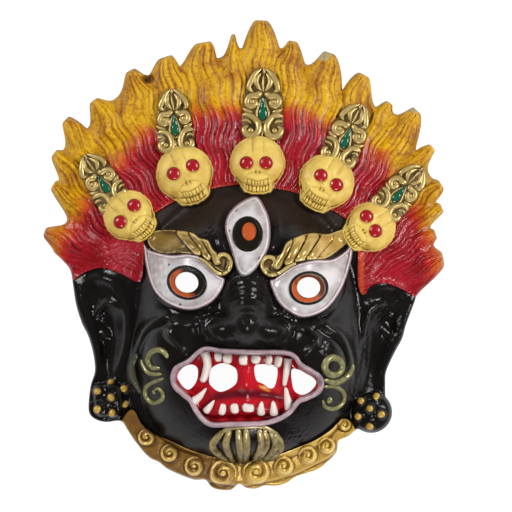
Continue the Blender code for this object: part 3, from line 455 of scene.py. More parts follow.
def tongue_side(low_angle, low_reach, tip_angle, tip_reach, hollow):
    """The edge from a valley up to a tip, without the tip itself."""
    share = np.linspace(0.0, 1.0, 14, endpoint=False)
    reach = low_reach + (tip_reach + TIP_BLUNTNESS - low_reach) * ease(share**hollow)
    angles = np.radians(low_angle + (tip_angle - low_angle) * share)
    return polar(FLAME_CENTRE, soft_min(reach, tip_reach - TIP_CUT, 1.0), angles)


def flame_edge():
    low_angle, low_reach = FLAME_START
    edge = []
    for tip_angle, tip_reach, near_hollow, far_hollow, next_angle, next_reach in TONGUES:
        edge.append(tongue_side(low_angle, low_reach, tip_angle, tip_reach, near_hollow))
        edge.append(polar(FLAME_CENTRE, tip_reach - TIP_CUT, np.radians([tip_angle])))
        edge.append(tongue_side(next_angle, next_reach, tip_angle, tip_reach, far_hollow)[:0:-1])
        low_angle, low_reach = next_angle, next_reach
    return np.vstack(edge)


@functools.cache
def mask_outline():
    lower = smooth_path(LOWER_EDGE)
    earring = arc(EARRING_CENTRE, EARRING_RADIUS, *EARRING_ARC)
    ear = smooth_path((earring[-1], *RIGHT_EAR_EDGE, FLAME_END))[1:-1]
    loop = even_loop(np.vstack([flame_edge(), lower, earring, ear]), 1.0)
    return 0.5 * loop + 0.25 * (np.roll(loop, 1, axis=0) + np.roll(loop, -1, axis=0))


@functools.cache
def openings():
    """The closed outlines of everything cut right through the mask."""
    pupils = [ellipse(*pupil) for pupil in PUPILS]
    return pupils + [smooth_path(hole, closed=True) for hole in MOUTH_HOLES]


def loop_tree(loop):
    tree = KDTree(len(loop))
    for index, (column, row) in enumerate(loop):
        tree.insert((column, row, 0.0), index)
    tree.balance()
    return tree


@functools.cache
def outline_tree():
    return loop_tree(mask_outline())


def outline_gap(x, y):
    """How far each point is from the mask's outline."""
    loop, tree = mask_outline(), outline_tree()
    index = np.array([tree.find((column, row, 0.0))[1] for column, row in zip(x, y)])
    gap = np.full(len(x), np.inf)
    for start, end in ((index - 1, index), (index, (index + 1) % len(loop))):
        step = loop[end] - loop[start]
        off = np.column_stack([x, y]) - loop[start]
        share = np.clip((off * step).sum(axis=1) / (step**2).sum(axis=1), 0.0, 1.0)
        gap = np.minimum(gap, np.hypot(*(off - step * share[:, None]).T))
    return gap


# The broad forms, which the hollow behind follows

def face_reach(x, y):
    """0 at the middle of the face, 1 at its outline, and on outwards across the crown and ears."""
    across = np.abs(x - FACE_CENTRE[0]) / FACE_HALF_WIDTH
    above = np.clip(FACE_CENTRE[1] - y, 0.0, None) / FACE_TOP
    below = np.clip(y - FACE_CENTRE[1], 0.0, None) / FACE_DROP
    jaw = (across**FACE_JAW_SQUARENESS + below**FACE_JAW_SQUARENESS) ** (1 / FACE_JAW_SQUARENESS)
    return np.where(y < FACE_CENTRE[1], np.hypot(across, above), jaw)


def plate_height(x, y, inset):
    """The fan behind the face: thin at its edge, and thicker towards the face."""
    outward = np.clip((face_reach(x, y) - 1.0) / (CROWN_REACH - 1.0), 0.0, 1.0)
    fan = CROWN_ROOT_HEIGHT + (CROWN_TIP_HEIGHT - CROWN_ROOT_HEIGHT) * outward
    edge = EDGE_THICKNESS + EDGE_SLOPE * GRID * np.clip(inset, 0.0, None)
    return soft_min(fan, edge, 0.004)


def depth_inside(x, y, outline, spacing):
    """How far inside a closed outline each point is, and 0 outside it."""
    loop = smooth_path(outline, closed=True, spacing=spacing)
    inset = np.zeros(x.shape)
    near = near_box(x, y, loop, 1.0)
    gap, _ = path_distance(x[near], y[near], loop, closed=True)
    inset[near] = np.where(is_inside(x[near], y[near], loop), gap, 0.0)
    return inset


def mouth_inset(x, y):
    return depth_inside(x, y, MOUTH, 2.4)


def broad_height(x, y, inset):
    """The height of the mask's broad forms."""
    fullness = np.clip(1.0 - face_reach(x, y) ** FACE_FULLNESS, 0.0, None) ** FACE_EDGE_STEEPNESS
    face = FACE_EDGE_HEIGHT + (FACE_HEIGHT - FACE_EDGE_HEIGHT) * fullness
    for centre, radii, rise in SWELLS:
        face += swell(x, y, centre, radii, rise)
    face -= MOUTH_DEPTH * ease(mouth_inset(x, y) / 9.0)
    return soft_max(plate_height(x, y, inset), face, 0.006)


def base_height(x, y, inset=None):
    """The broad forms with the features that are cast solid in the black face."""
    if inset is None:
        inset = outline_gap(x, y)
    height = broad_height(x, y, inset)
    for boss in BOSSES:
        height += dome(x, y, *boss)
    for mound in MOUNDS:
        height += swell(x, y, *mound)
    for line in RIDGES:
        height += ridge(x, y, *line, soft=True)
    return height + LOBE_RISE * ease(depth_inside(x, y, LEFT_LOBE, 2.0) / 4.0)


def height_at(column, row, surface=base_height, *details):
    """A surface's height at one place."""
    return surface(np.array([float(column)]), np.array([float(row)]), *details)[0]


def back_height(x, y, inset):
    """The hollow behind: a wall's thickness under the broad forms, with a flat rim round the edge."""
    form = broad_height(x, y, inset)
    slope_x = (broad_height(x + 1.0, y, inset) - form) / GRID
    slope_y = (broad_height(x, y + 1.0, inset) - form) / GRID
    under = form - WALL * np.sqrt(1.0 + np.minimum(slope_x**2 + slope_y**2, 4.0))
    side = HOLLOW_DRAFT * (inset * GRID - RIM_WIDTH)
    return np.clip(soft_min(under, side, 0.003), 0.0, None)


# From the grid to metres, and from heights to closed pieces

def upright(points):
    right = (points[:, 0] - FLAME_CENTRE[0]) * GRID
    up = (FLAME_CENTRE[1] - points[:, 1]) * GRID
    c, s = math.cos(LEAN), math.sin(LEAN)
    return np.column_stack([right * c - up * s, right * s + up * c])


@functools.cache
def outline_middle():
    places = upright(mask_outline())
    return (places.min(axis=0) + places.max(axis=0)) / 2


def in_metres(points, height):
    """From grid places to the part's own frame, with the mask turned upright."""
    middle = (np.array(CAD_BOX[0][:2]) + np.array(CAD_BOX[1][:2])) / 2
    plan = (upright(np.asarray(points, float)) - outline_middle()) * INSIDE_SHARE + middle
    return np.column_stack([plan, np.minimum(height, CAD_BOX[1][2] - TOP_CLEARANCE)])


def lattice(loop, spacing):
    """Points in staggered rows across the box round a loop."""
    low, high = loop.min(axis=0), loop.max(axis=0)
    rows = np.arange(low[1], high[1], spacing * math.sqrt(0.75))
    columns = np.arange(low[0], high[0], spacing)
    x, y = np.meshgrid(columns, rows)
    x[1::2] += spacing / 2
    return x.ravel(), y.ravel()


def triangulate(points, edges, outline, holes):
    """Triangles between the outline and the holes, through all the given points and along all given edges."""
    corners, _, faces, *_ = delaunay_2d_cdt([tuple(p) for p in points], edges, [], 0, 1e-5)
    corners = np.array([tuple(c) for c in corners])
    faces = np.array([tuple(f)[:3] for f in faces])
    middle = corners[faces].mean(axis=1)
    kept = is_inside(middle[:, 0], middle[:, 1], outline)
    for hole in holes:
        kept &= ~is_inside(middle[:, 0], middle[:, 1], hole)
    faces = faces[kept]
    a, b, c = (corners[faces[:, k]] for k in range(3))
    # Rows count down, so a triangle that faces the viewer has a negative turn on the grid.
    turn = (b[:, 0] - a[:, 0]) * (c[:, 1] - a[:, 1]) - (b[:, 1] - a[:, 1]) * (c[:, 0] - a[:, 0])
    faces[turn > 0] = faces[turn > 0][:, ::-1]
    used, index = np.unique(faces, return_inverse=True)
    return corners[used], index.reshape(faces.shape)


def loop_edges(loops):
    """The loops' points in one list, and the edges that join each loop up."""
    points, edges = [], []
    for loop in loops:
        first, count = len(points), len(loop)
        points.extend(loop)
        edges.extend((first + k, first + (k + 1) % count) for k in range(count))
    return points, edges


def edges_of(faces):
    return np.concatenate([faces[:, [0, 1]], faces[:, [1, 2]], faces[:, [2, 0]]])


def rim_edges(faces):
    """The edges that only one triangle has, in that triangle's direction."""
    ends = edges_of(faces)
    _, first, count = np.unique(np.sort(ends, axis=1), axis=0, return_index=True, return_counts=True)
    return ends[first[count == 1]]


def loop_gap(x, y, loop):
    """How far each point is from the points of a loop."""
    tree = loop_tree(loop)
    return np.array([tree.find((column, row, 0.0))[2] for column, row in zip(x, y)])


def points_inside(points, loop, holes, margin):
    """Those of the points that lie inside the loop, clear of it and of the holes."""
    x, y = points
    kept = is_inside(x, y, loop)
    x, y = x[kept], y[kept]
    kept = np.ones(x.shape, bool)
    for edge in (loop, *holes):
        near = near_box(x, y, edge, margin)
        kept[near] &= loop_gap(x[near], y[near], edge) > margin
    return zip(x[kept], y[kept])


def closed_piece(loop, holes, points, spacing, top, bottom, bottom_spacing):
    """Vertices and triangles of a closed plate: a carved face, a coarser underside and the walls between.

    top and bottom give heights for columns and rows. The third value is the face's own triangles.
    """
    corners, edges = loop_edges([loop, *holes])
    corners.extend(points_inside(points, loop, holes, 0.6 * spacing))
    front, front_faces = triangulate(corners, edges, loop, holes)
    rim = rim_edges(front_faces)
    used, index = np.unique(rim, return_inverse=True)
    under = lattice(loop, bottom_spacing)
    corners = [*front[used], *points_inside(under, loop, holes, 0.6 * bottom_spacing)]
    back, back_faces = triangulate(corners, [tuple(e) for e in index.reshape(rim.shape)], loop, holes)
    back_index = {tuple(np.round(p, 4)): len(front) + k for k, p in enumerate(back)}
    walls = []
    for a, b in rim:
        below_a, below_b = (back_index[tuple(np.round(front[end], 4))] for end in (a, b))
        walls += [(b, a, below_a), (b, below_a, below_b)]
    vertices = np.vstack([in_metres(front, top(*front.T)), in_metres(back, bottom(*back.T))])
    return vertices, np.vstack([front_faces, back_faces[:, ::-1] + len(front), walls]), front_faces


def relief_of(height, faces, span, rounds):
    """How far each place stands proud of what is round it: 0.5 is level, 0 deep and 1 high."""
    ends = edges_of(faces)
    counts = np.maximum(np.bincount(ends.ravel(), minlength=len(height)), 1)
    level = height.copy()
    for _ in range(rounds):
        sums = np.bincount(ends[:, 0], level[ends[:, 1]], len(height))
        sums += np.bincount(ends[:, 1], level[ends[:, 0]], len(height))
        level = 0.5 * level + 0.5 * sums / counts
    return np.clip(0.5 + (height - level) / span, 0.0, 1.0)


def add_object(name, data):
    thing = bpy.data.objects.new(name, data)
    bpy.context.scene.collection.objects.link(thing)
    return thing


def add_piece(name, mesh):
    """A finished mesh as a piece of the mask."""
    piece = add_object(name, mesh)
    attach(piece, BODY)
    return piece


def store(mesh, name, values, kind="FLOAT", field="value"):
    """One named value for each of a mesh's points."""
    mesh.attributes.new(name, kind, "POINT").data.foreach_set(field, values)


def add_mesh(name, parts, material):
    """A piece from lots of vertices, triangles and the named values that its paint reads."""
    starts = np.cumsum([0, *(len(part[0]) for part in parts)])
    vertices = np.vstack([part[0] for part in parts])
    faces = np.vstack([part[1] + start for part, start in zip(parts, starts)])
    mesh = bpy.data.meshes.new(name)
    mesh.from_pydata(vertices.tolist(), [], faces.tolist())
    mesh.validate()
    for key in parts[0][2]:
        numbers = np.zeros(len(vertices))
        for (_, _, values), start in zip(parts, starts):
            numbers[start : start + len(values[key])] = values[key]
        store(mesh, key, numbers)
    mesh.materials.append(material)
    mesh.shade_smooth()
    mesh.set_sharp_from_angle(angle=SHARP_ANGLE)
    return add_piece(name, mesh)


def carved_patch(loop, spacing, rise, details=(), holes=(), sink=0.0012, span=0.0012, rounds=6, coarse=5.0):
    """A painted feature laid on the shell: its carved face, and an underside sunk into what carries it.

    rise takes columns, rows, the distance in from the edge and the details, and gives the height above the
    shell with the named values that its paint reads.
    """
    values = {}

    def top(x, y):
        gap, _ = path_distance(x, y, loop, closed=True)
        lift, named = rise(x, y, gap, *details)
        values.update(named, relief=lift)
        return base_height(x, y) + lift

    def bottom(x, y):
        return base_height(x, y) - sink

    points = lattice(loop, spacing)
    vertices, faces, front_faces = closed_piece(loop, holes, points, spacing, top, bottom, coarse)
    values["relief"] = relief_of(values["relief"], front_faces, span, rounds)
    return vertices, faces, values


# The crown of flames

# Strands fan out from a root below the face. Their step is in degrees, the rest in grid squares
STRAND_ROOT = (246.0, 378.0)
STRAND_STEP = 1.4
STRAND_WAVES = ((2.0, 38.0, 3.0), (1.8, 97.0, 5.0))
TONGUE_PULL = 0.65
TONGUE_PULL_START = 14.0
TONGUE_SWELL = 0.0014
# Each tongue's own round lobe, the valley beside it, and how far down the fan they reach
TONGUE_LOBE = 0.0021
TONGUE_VALLEY = 0.0009
TONGUE_LENGTH = 42.0
WARMTH_START = 178.0
WARMTH_END = 216.0
CROWN_RIM_RISE = 0.0011
CROWN_RIM_WIDTH = 3.0
# The lock that hangs beside the right eye: its column, half width and top
TEMPLE_LOCK = (361.5, 5.0, 250.0)
# Bare places at the tips: column, row, reach
BARE_TIPS = ((324, 53, 8), (415, 108, 5))


def tongue_pull(angle, reach):
    """Angles about the flames' centre, drawn in so that the strands run together towards each tip.

    The second value is how far each point lies across its tongue, from -1 to 1, and the third how far out.
    """
    low_angle, low_reach = FLAME_START
    pulled = angle.copy()
    across, outward = np.zeros(angle.shape), np.zeros(angle.shape)
    for tip_angle, tip_reach, near_hollow, far_hollow, next_angle, next_reach in TONGUES:
        inside = (angle >= low_angle) & (angle < next_angle)
        sides = []
        for side_angle, side_reach, hollow in (
            (low_angle, low_reach, near_hollow), (next_angle, next_reach, far_hollow),
        ):
            start = side_reach - TONGUE_PULL_START
            share = uneased((reach[inside] - start) / (tip_reach - start)) ** (1.0 / hollow)
            sides.append(side_angle + (tip_angle - side_angle) * np.minimum(share, 0.9))
        share = np.clip((angle[inside] - sides[0]) / (sides[1] - sides[0]), 0.0, 1.0)
        full = low_angle + (next_angle - low_angle) * share
        pulled[inside] += TONGUE_PULL * (full - angle[inside])
        across[inside] = 2.0 * share - 1.0
        outward[inside] = ease((reach[inside] - min(low_reach, next_reach) + TONGUE_LENGTH) / TONGUE_LENGTH)
        low_angle, low_reach = next_angle, next_reach
    return pulled, across, outward


def strand_field(x, y):
    """The number of the strand at each point, counted across the fan, with its fraction.

    With it come the length along the strand, and the place in the tongue as tongue_pull gives it.
    """
    right, up = x - FLAME_CENTRE[0], FLAME_CENTRE[1] - y
    reach = np.hypot(right, up)
    pulled, across, outward = tongue_pull(np.degrees(np.arctan2(up, right)), reach)
    pulled = np.radians(pulled)
    right = FLAME_CENTRE[0] + reach * np.cos(pulled) - STRAND_ROOT[0]
    up = STRAND_ROOT[1] - FLAME_CENTRE[1] + reach * np.sin(pulled)
    fan, length = np.arctan2(right, up), np.hypot(right, up)
    off = np.zeros(x.shape)
    for width, wave_length, lag in STRAND_WAVES:
        off += width * np.sin(2 * math.pi * length / wave_length + lag * fan + 1.1 * waver(x, y, 55.0, 1))
    phase = np.degrees(fan + off / length) / STRAND_STEP
    return phase + 0.5 * waver(x, y, 26.0, 2), length, across, outward


def ridges(phase, length, seed):
    """Round ridges side by side, uneven in width, that swell and sink along their length.

    The second value is how deep each point lies between two of them.
    """
    phase = phase + 0.17 * np.sin(2 * math.pi * phase / 2.7 + seed)
    number = np.floor(phase)
    off_middle = np.abs(2.0 * (phase - number) - 1.0)
    swelling = np.sin(length / (8.0 + 7.0 * scatter(number, seed)) + 40.0 * scatter(number, seed + 1))
    strength = 0.62 + 0.38 * swelling
    return strength * (1.0 - off_middle**1.8), strength * ease((off_middle - 0.35) / 0.65)


def flame_lift(x, y, inset, sizes):
    """The flames' relief above the fan, with the values that their paint reads."""
    phase, length, across, outward = strand_field(x, y)
    reach = np.hypot(x - FLAME_CENTRE[0], y - FLAME_CENTRE[1])
    lean = np.degrees(np.abs(np.arctan2(x - FLAME_CENTRE[0], FLAME_CENTRE[1] - y)))
    bold = ease((reach - 185.0) / 45.0)
    # Calm beside the left temple, and a little calmer low down on both sides
    calm = 1.0 - 0.85 * ease((y - 228.0) / 22.0) * ease((150.0 - x) / 25.0) * ease((x - 74.0) / 14.0)
    calm *= 1.0 - 0.25 * ease((y - 240.0) / 30.0)
    fine, fine_groove = ridges(phase, length, 1)
    broad, broad_groove = ridges(0.5 * phase + 0.4 * waver(x, y, 40.0, 5), length, 4)
    fade = calm * ease(inset / 4.0)
    lift = sizes.strand_depth * (1.0 - 0.1 * bold) * fine + sizes.fold_depth * (0.3 + 0.6 * bold) * broad
    lift = fade * lift + TONGUE_SWELL * (1.0 - (1.0 - np.clip(inset / 10.0, 0.0, 1.0)) ** 2)
    lift += outward * (TONGUE_LOBE * (1.0 - np.abs(across) ** 2.2) - TONGUE_VALLEY)
    uneven = 7.0 * (scatter(np.floor(phase), 2) - 0.5) + 5.0 * waver(x, y, 24.0, 6)
    warmth = (reach + uneven - WARMTH_START) / (WARMTH_END - WARMTH_START)
    warmth = np.minimum(warmth, 1.25 - 0.75 * ease((lean - 58.0) / 14.0))
    # Painted shade: the paint darkens in the grooves between strands and in the valleys between tongues.
    valley = 0.3 * outward * ease((np.abs(across) - 0.75) / 0.25)
    groove = np.maximum(fade * np.maximum(fine_groove, 0.8 * bold * broad_groove), valley)
    bare = np.zeros(x.shape)
    for column, row, size in BARE_TIPS:
        bare = np.maximum(bare, ease(1.4 - np.hypot(x - column, y - row) / size))
    edge = ease(1.0 - inset / 2.2) * ease(0.6 + 0.6 * waver(x, y, 9.0, 7))
    (column, row), radii, depth = CHIP_BED
    broken = ease(2.2 * (1.0 - np.hypot((x - column) / radii[0], (y - row) / radii[1])))
    lift = lift * (1.0 - broken) - depth * broken * (1.0 + 0.3 * waver(x, y, 2.2, 8))
    # The chip is painted with the dark edge colour: partly bare casting, partly painted shadow in the break.
    edge = np.maximum(edge, ease(1.4 * broken))
    return lift, {"warmth": warmth, "groove": groove, "bare": bare, "scorch": edge, "satin": bold}


def fan_lattice(across, along):
    """Points in rings about the strands' root, closer together across the strands than along them."""
    rings = []
    for index, length in enumerate(np.arange(60.0, 366.0, along)):
        count = round(length * math.radians(214.0) / across)
        fan = math.radians(107.0) * (2.0 * (np.arange(count) + 0.5 * (index % 2)) / count - 1.0)
        rings.append(STRAND_ROOT + length * np.column_stack([np.sin(fan), -np.cos(fan)]))
    return tuple(np.vstack(rings).T)


def nearest_index(loop, place):
    return int(np.argmin(np.hypot(*(loop - np.asarray(place, float)).T)))


def between(loop, first, last):
    """The loop's points from one index on to another, both left out."""
    count = (last - first) % len(loop)
    return loop[(first + 1 + np.arange(count - 1)) % len(loop)]


def snapped_seam(seam):
    """The seam with its two ends moved onto the nearest points of the mask's outline."""
    loop = mask_outline()
    ends = [nearest_index(loop, seam[0]), nearest_index(loop, seam[-1])]
    path = smooth_path([loop[ends[0]], *seam[1:-1], loop[ends[1]]])
    return path, ends


@functools.cache
def shell_loops():
    """The outlines of the crown, the face and the collar, which share their seams' points."""
    loop = mask_outline()
    crown_seam, (crown_left, crown_right) = snapped_seam(CROWN_SEAM)
    collar_seam, (collar_left, collar_right) = snapped_seam(COLLAR_SEAM)
    crown = np.vstack([crown_seam, between(loop, crown_right, crown_left)])
    collar = np.vstack([collar_seam[::-1], between(loop, collar_left, collar_right)])
    face = np.vstack([
        crown_seam[::-1], between(loop, crown_left, collar_left), collar_seam,
        between(loop, collar_right, crown_right),
    ])
    return crown, face, collar


def rounded_edge(height, gap):
    """The height with the casting's rounding at an outline or an opening."""
    share = np.clip(gap * GRID / EDGE_ROUNDING, 0.0, 1.0)
    return height - EDGE_ROUNDING * (1.0 - np.sqrt(1.0 - (1.0 - share) ** 2))


def shell_piece(name, loop, holes, points, spacing, lift, material, span):
    """One of the three parts of the mask's shell, with its hollow behind, standing for the solid."""
    above, below = {}, {}

    def top(x, y):
        inset = outline_gap(x, y)
        rise, values = lift(x, y, inset)
        height = base_height(x, y, inset) + rise
        above.update(values, relief=height)
        height = rounded_edge(height, inset)
        for hole in holes:
            near = near_box(x, y, hole, 5.0)
            height[near] = rounded_edge(height[near], loop_gap(x[near], y[near], hole))
        return height

    def bottom(x, y):
        inset = outline_gap(x, y)
        below.update(lift(x, y, inset)[1], relief=np.full(x.shape, 0.5))
        return back_height(x, y, inset)

    vertices, faces, front_faces = closed_piece(loop, holes, points, spacing, top, bottom, 4.0)
    above["relief"] = relief_of(above["relief"], front_faces, span, 12)
    values = {key: np.concatenate([numbers, below[key]]) for key, numbers in above.items()}
    piece = add_mesh(name, [(vertices, faces, values)], material)
    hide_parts(MASK_NODE)


def crown_lift(x, y, inset):
    lift, values = flame_lift(x, y, inset, bpy.context.scene.mask_sizes)
    seam = smooth_path(CROWN_SEAM[6:-9], spacing=2.0)
    gap = np.full(x.shape, 99.0)
    near = near_box(x, y, seam, 6.0)
    gap[near], _ = path_distance(x[near], y[near], seam)
    rim = ease(1.0 - gap / CROWN_RIM_WIDTH)
    values["rim"] = rim
    column, half_width, top = TEMPLE_LOCK
    values["lock"] = ease(1.0 - np.abs(x - column) / half_width) * ease((y - top) / 4.0)
    return lift * (1.0 - rim) + CROWN_RIM_RISE * rim, values


def face_lift(x, y, inset):
    """The fine wrinkles of the black face, and where its paint is thin and brown."""
    across = x - NOSE_COLUMN
    fade = ease(2.0 * (1.0 - np.abs(across) / NOSE_WRINKLE_HALF_WIDTH))
    lift = np.zeros(x.shape)
    for row in NOSE_WRINKLE_ROWS:
        lift -= NOSE_WRINKLE_DEPTH * fade * bell(y - NOSE_WRINKLE_SAG * across**2, row, 1.6)
    for column, row in STUDS:
        lift += dome(x, y, (column, row), (6.0, 6.0), STUD_BED)
    lift -= MOUTH_BED * ease((mouth_inset(x, y) - 1.0) / 2.0)
    lumpy = np.zeros(x.shape)
    for centre, radii in LUMPY_PLACES:
        lumpy = np.maximum(lumpy, swell(x, y, centre, radii, 1.0) ** 0.5)
    lift += LUMP_HEIGHT * lumpy * (waver(x, y, LUMP_SCALES[0], 31) + 0.6 * waver(x, y, LUMP_SCALES[1], 37))
    thin = ease((236.0 - y + 0.10 * np.abs(x - 247.0)) / 26.0) * ease((face_reach(x, y) - 0.55) / 0.2)
    thin = np.maximum(thin, 0.35 * swell(x, y, (247.0, 440.0), (90.0, 34.0), 1.0))
    return lift, {"thin": thin * (y < 300.0) + 0.6 * thin * (y >= 300.0)}


def collar_lift(x, y, inset):
    """The rolled band of the collar, lobed at each scroll."""
    path = smooth_path(COLLAR_LINE, spacing=2.0)
    gap, _ = path_distance(x, y, path)
    lift = COLLAR_RISE * rounded(gap / COLLAR_HALF_WIDTH)
    scrolls = np.zeros(x.shape)
    for column, row, radius, start, turns in COLLAR_SCROLLS:
        off = np.hypot(x - column, y - row) / radius
        angle = np.degrees(np.arctan2(row - y, x - column)) - start
        winding = math.copysign(1.0, turns) * angle / 360.0 + abs(turns) * off
        roll = 1.0 - np.abs(2.0 * (winding - np.floor(winding)) - 1.0) ** 1.5
        roll = np.where(off < SCROLL_BOSS, 1.25 * rounded(off / SCROLL_BOSS), roll)
        scrolls = np.maximum(scrolls, 0.0016 * rounded(off) + 0.0020 * roll * ease((1.0 - off) / 0.2))
        scrolls -= 0.0010 * bell(off, 1.08, 0.09) * (scrolls < 0.0003)
    return lift + scrolls, {"bright": ease((x - 205.0) / 60.0)}


# The skulls of the diadem

# Middle, turn counter-clockwise in degrees, radius, and the places of its two eyes
SKULLS = (
    ((128.5, 215.5), 49.0, 26.5, ((120.5, 222), (134, 206))),
    ((184.5, 173.5), 22.5, 29.5, ((174, 174), (192.4, 166))),
    ((257.5, 163.0), 0.0, 28.5, ((246.8, 163.3), (265.5, 163.3))),
    ((326.5, 181.5), -31.0, 28.8, ((320.8, 175.8), (336, 185))),
    ((371.0, 227.0), -59.0, 26.0, ((366.5, 217), (375, 231))),
)
JAW_SHARE = 0.125
CHEEK_SHARE = 0.03
SKULL_RIM_RISE = 0.0036
SKULL_DOME_RISE = 0.0065
SKULL_DOME = ((0.0, -0.07), (0.93, 0.90))
SKULL_MUZZLE = ((0.0, 0.74), (0.52, 0.44))
SKULL_EYE_RADIUS = 6.8
SKULL_EYE_SINK = 0.0003
# Any distance in from the skull's edge that is clear of its rim
SKULL_INSIDE = 9.0
# Rows of the gum lines and the bite, as shares of the radius, and how far they curve up at the sides
SKULL_TEETH_ROWS = (0.62, 0.81, 1.04)
SKULL_TEETH_CURVE = 0.55
SKULL_TEETH_HALF_WIDTH = 0.44
SKULL_TOOTH_STEP = 0.115


def skull_edge(direction):
    """The skull's radius in each direction, as a share: round above, with a squarer jaw below."""
    below = np.abs(np.degrees(np.arctan2(np.cos(direction), -np.sin(direction))))
    jaw = JAW_SHARE * ease((40.0 - below) / 16.0)
    return 1.0 + jaw - CHEEK_SHARE * ease(1.0 - np.abs(below - 58.0) / 20.0)


def skull_outline(centre, turn, radius):
    directions = np.linspace(0.0, 2 * math.pi, 230, endpoint=False)
    ragged = 0.3 * np.sin(17 * directions + centre[0]) * np.sin(7 * directions)
    ragged += 0.15 * np.sin(31 * directions)
    reach = radius * skull_edge(directions) + ragged
    return placed(reach * np.cos(directions), reach * np.sin(directions), centre, turn)


def skull_lift(x, y, inset, centre, turn, radius, eyes):
    right, up = turned(x, y, centre, turn)
    right, down = right / radius, -up / radius
    lift = SKULL_RIM_RISE * ease(inset / 1.2) - 0.0006 * bell(inset, 2.8, 1.1)
    lift += dome(right, down, *SKULL_DOME, SKULL_DOME_RISE)
    lift += dome(right, down, *SKULL_MUZZLE, 0.4 * SKULL_DOME_RISE)
    brow = ease((-0.22 - down) / 0.3) * ease((down + 0.96) / 0.16)
    crease = brow * np.maximum(bell(right, -0.19, 0.05), bell(right, 0.21, 0.06))
    lift += 0.0007 * brow * bell(right, 0.0, 0.14) - 0.0008 * crease
    # A wash in the teeth and nostrils, with painted shade in a ring inside the rim and round the eye sockets.
    stain = 0.45 * ease(1.0 - np.abs(inset - 2.6) / 1.8) * ease(0.6 + waver(x, y, 5.0, 3)) + 0.3 * crease
    for eye in eyes:
        lift -= swell(x, y, eye, (10.0, 10.0), 0.0022)
        off = np.hypot(x - eye[0], y - eye[1])
        lift += 0.0006 * bell(off, SKULL_EYE_RADIUS + 1.0, 1.0)
        stain = np.maximum(stain, 0.35 * ease(1.0 - np.abs(off - SKULL_EYE_RADIUS) / 2.0))
    for side in (-1, 1):
        lift += swell(right, down, (side * 0.46, 0.36), (0.3, 0.2), 0.0010)
        lift -= swell(right, down, (side * 0.62, 0.62), (0.22, 0.26), 0.0012)
        nostril = bell(right, side * 0.06, 0.045) * bell(down, 0.33, 0.06)
        lift -= 0.0012 * nostril
        stain = np.maximum(stain, 0.8 * nostril)
    lift += swell(right, down, (0.0, 0.2), (0.13, 0.2), 0.0009)
    bite = down + SKULL_TEETH_CURVE * right**2 + 0.022 * waver(x, y, 3.0, 8)
    width = ease((SKULL_TEETH_HALF_WIDTH - np.abs(right)) / 0.08)
    top, middle, bottom = SKULL_TEETH_ROWS
    for row in SKULL_TEETH_ROWS:
        line = bell(bite, row, 0.032) * width
        lift -= 0.0010 * line
        stain = np.maximum(stain, 0.42 * line)
    row_number = np.where(bite < middle, 0.0, 0.5)
    share = right / SKULL_TOOTH_STEP + row_number + 0.22 * np.sin(11.0 * right + 9.0 * row_number + centre[0])
    gap = bell(share, np.round(share), 0.15) * width
    gap *= ease((bite - top) / 0.03) * ease((bottom - bite) / 0.03)
    lift -= 0.0011 * gap
    stain = np.maximum(stain, 0.42 * gap)
    stain = np.maximum(stain, 0.16 * swell(right, down, (0.0, 0.7), (0.75, 0.55), 1.0))
    # Painted shade: uneven patches towards the skull's edge, and a darker left side where less light falls.
    shadow = ease(0.5 * waver(x, y, 11.0, 5) - 0.2) * ease(1.3 * np.hypot(right, down) - 0.5)
    shadow = np.maximum(shadow, 0.55 * ease(-1.5 * right - 0.6 + 0.4 * waver(x, y, 5.0, 8)))
    return lift, {"stain": stain * (0.75 + 0.25 * waver(x, y, 2.0, 6)), "shadow": shadow}


def skull_height(x, y, skull):
    """The height on a skull, away from its rim."""
    return base_height(x, y) + skull_lift(x, y, SKULL_INSIDE, *skull)[0]


# The leaf crests above them

CRESTS = (
    ((100.5, 180.5), 33.0, 31.0),
    ((174.0, 120.0), 5.0, 32.0),
    ((263.0, 103.0), -1.0, 36.0),
    ((348.5, 133.5), -23.0, 33.0),
    ((402.5, 190.5), -41.0, 31.0),
)
CREST_RISE = 0.0034
# Their shape as shares of that half length: one side of the leaf from tip to foot, and the gem's middle and
# half widths
CREST_SIDE = (
    (0.0, 1.05), (0.12, 0.98), (0.26, 0.86), (0.38, 0.70), (0.43, 0.53), (0.50, 0.38), (0.58, 0.22),
    (0.59, -0.02), (0.56, -0.20), (0.61, -0.34), (0.60, -0.54), (0.57, -0.72), (0.48, -0.91), (0.26, -1.0),
)
CREST_GEM = ((0.0, -0.20), (0.115, 0.29))
# The three knobs that make up its drop: how far up it each lies, and its share of the width
GEM_KNOBS = ((-0.3, 1.0), (0.3, 0.72), (0.75, 0.42))
GEM_RISE = 0.0016
# How far above the leaf the middles of its strokes and gems lie
STROKE_LIFT = 0.0005
BUTTON_LIFT = 0.0004
CREST_SPACING = 0.9


def crest_outline(centre, turn, half_length):
    """A pointed leaf, waisted above its foot."""
    side = np.array(CREST_SIDE)
    loop = smooth_path(np.vstack([side, side[:0:-1] * (-1, 1)]), closed=True, spacing=0.03) * half_length
    return placed(*loop.T, centre, turn)


def crest_lift(x, y, inset):
    return CREST_RISE * ease(inset / 1.6) + 0.0006 * ease((inset - 2.0) / 6.0), {}


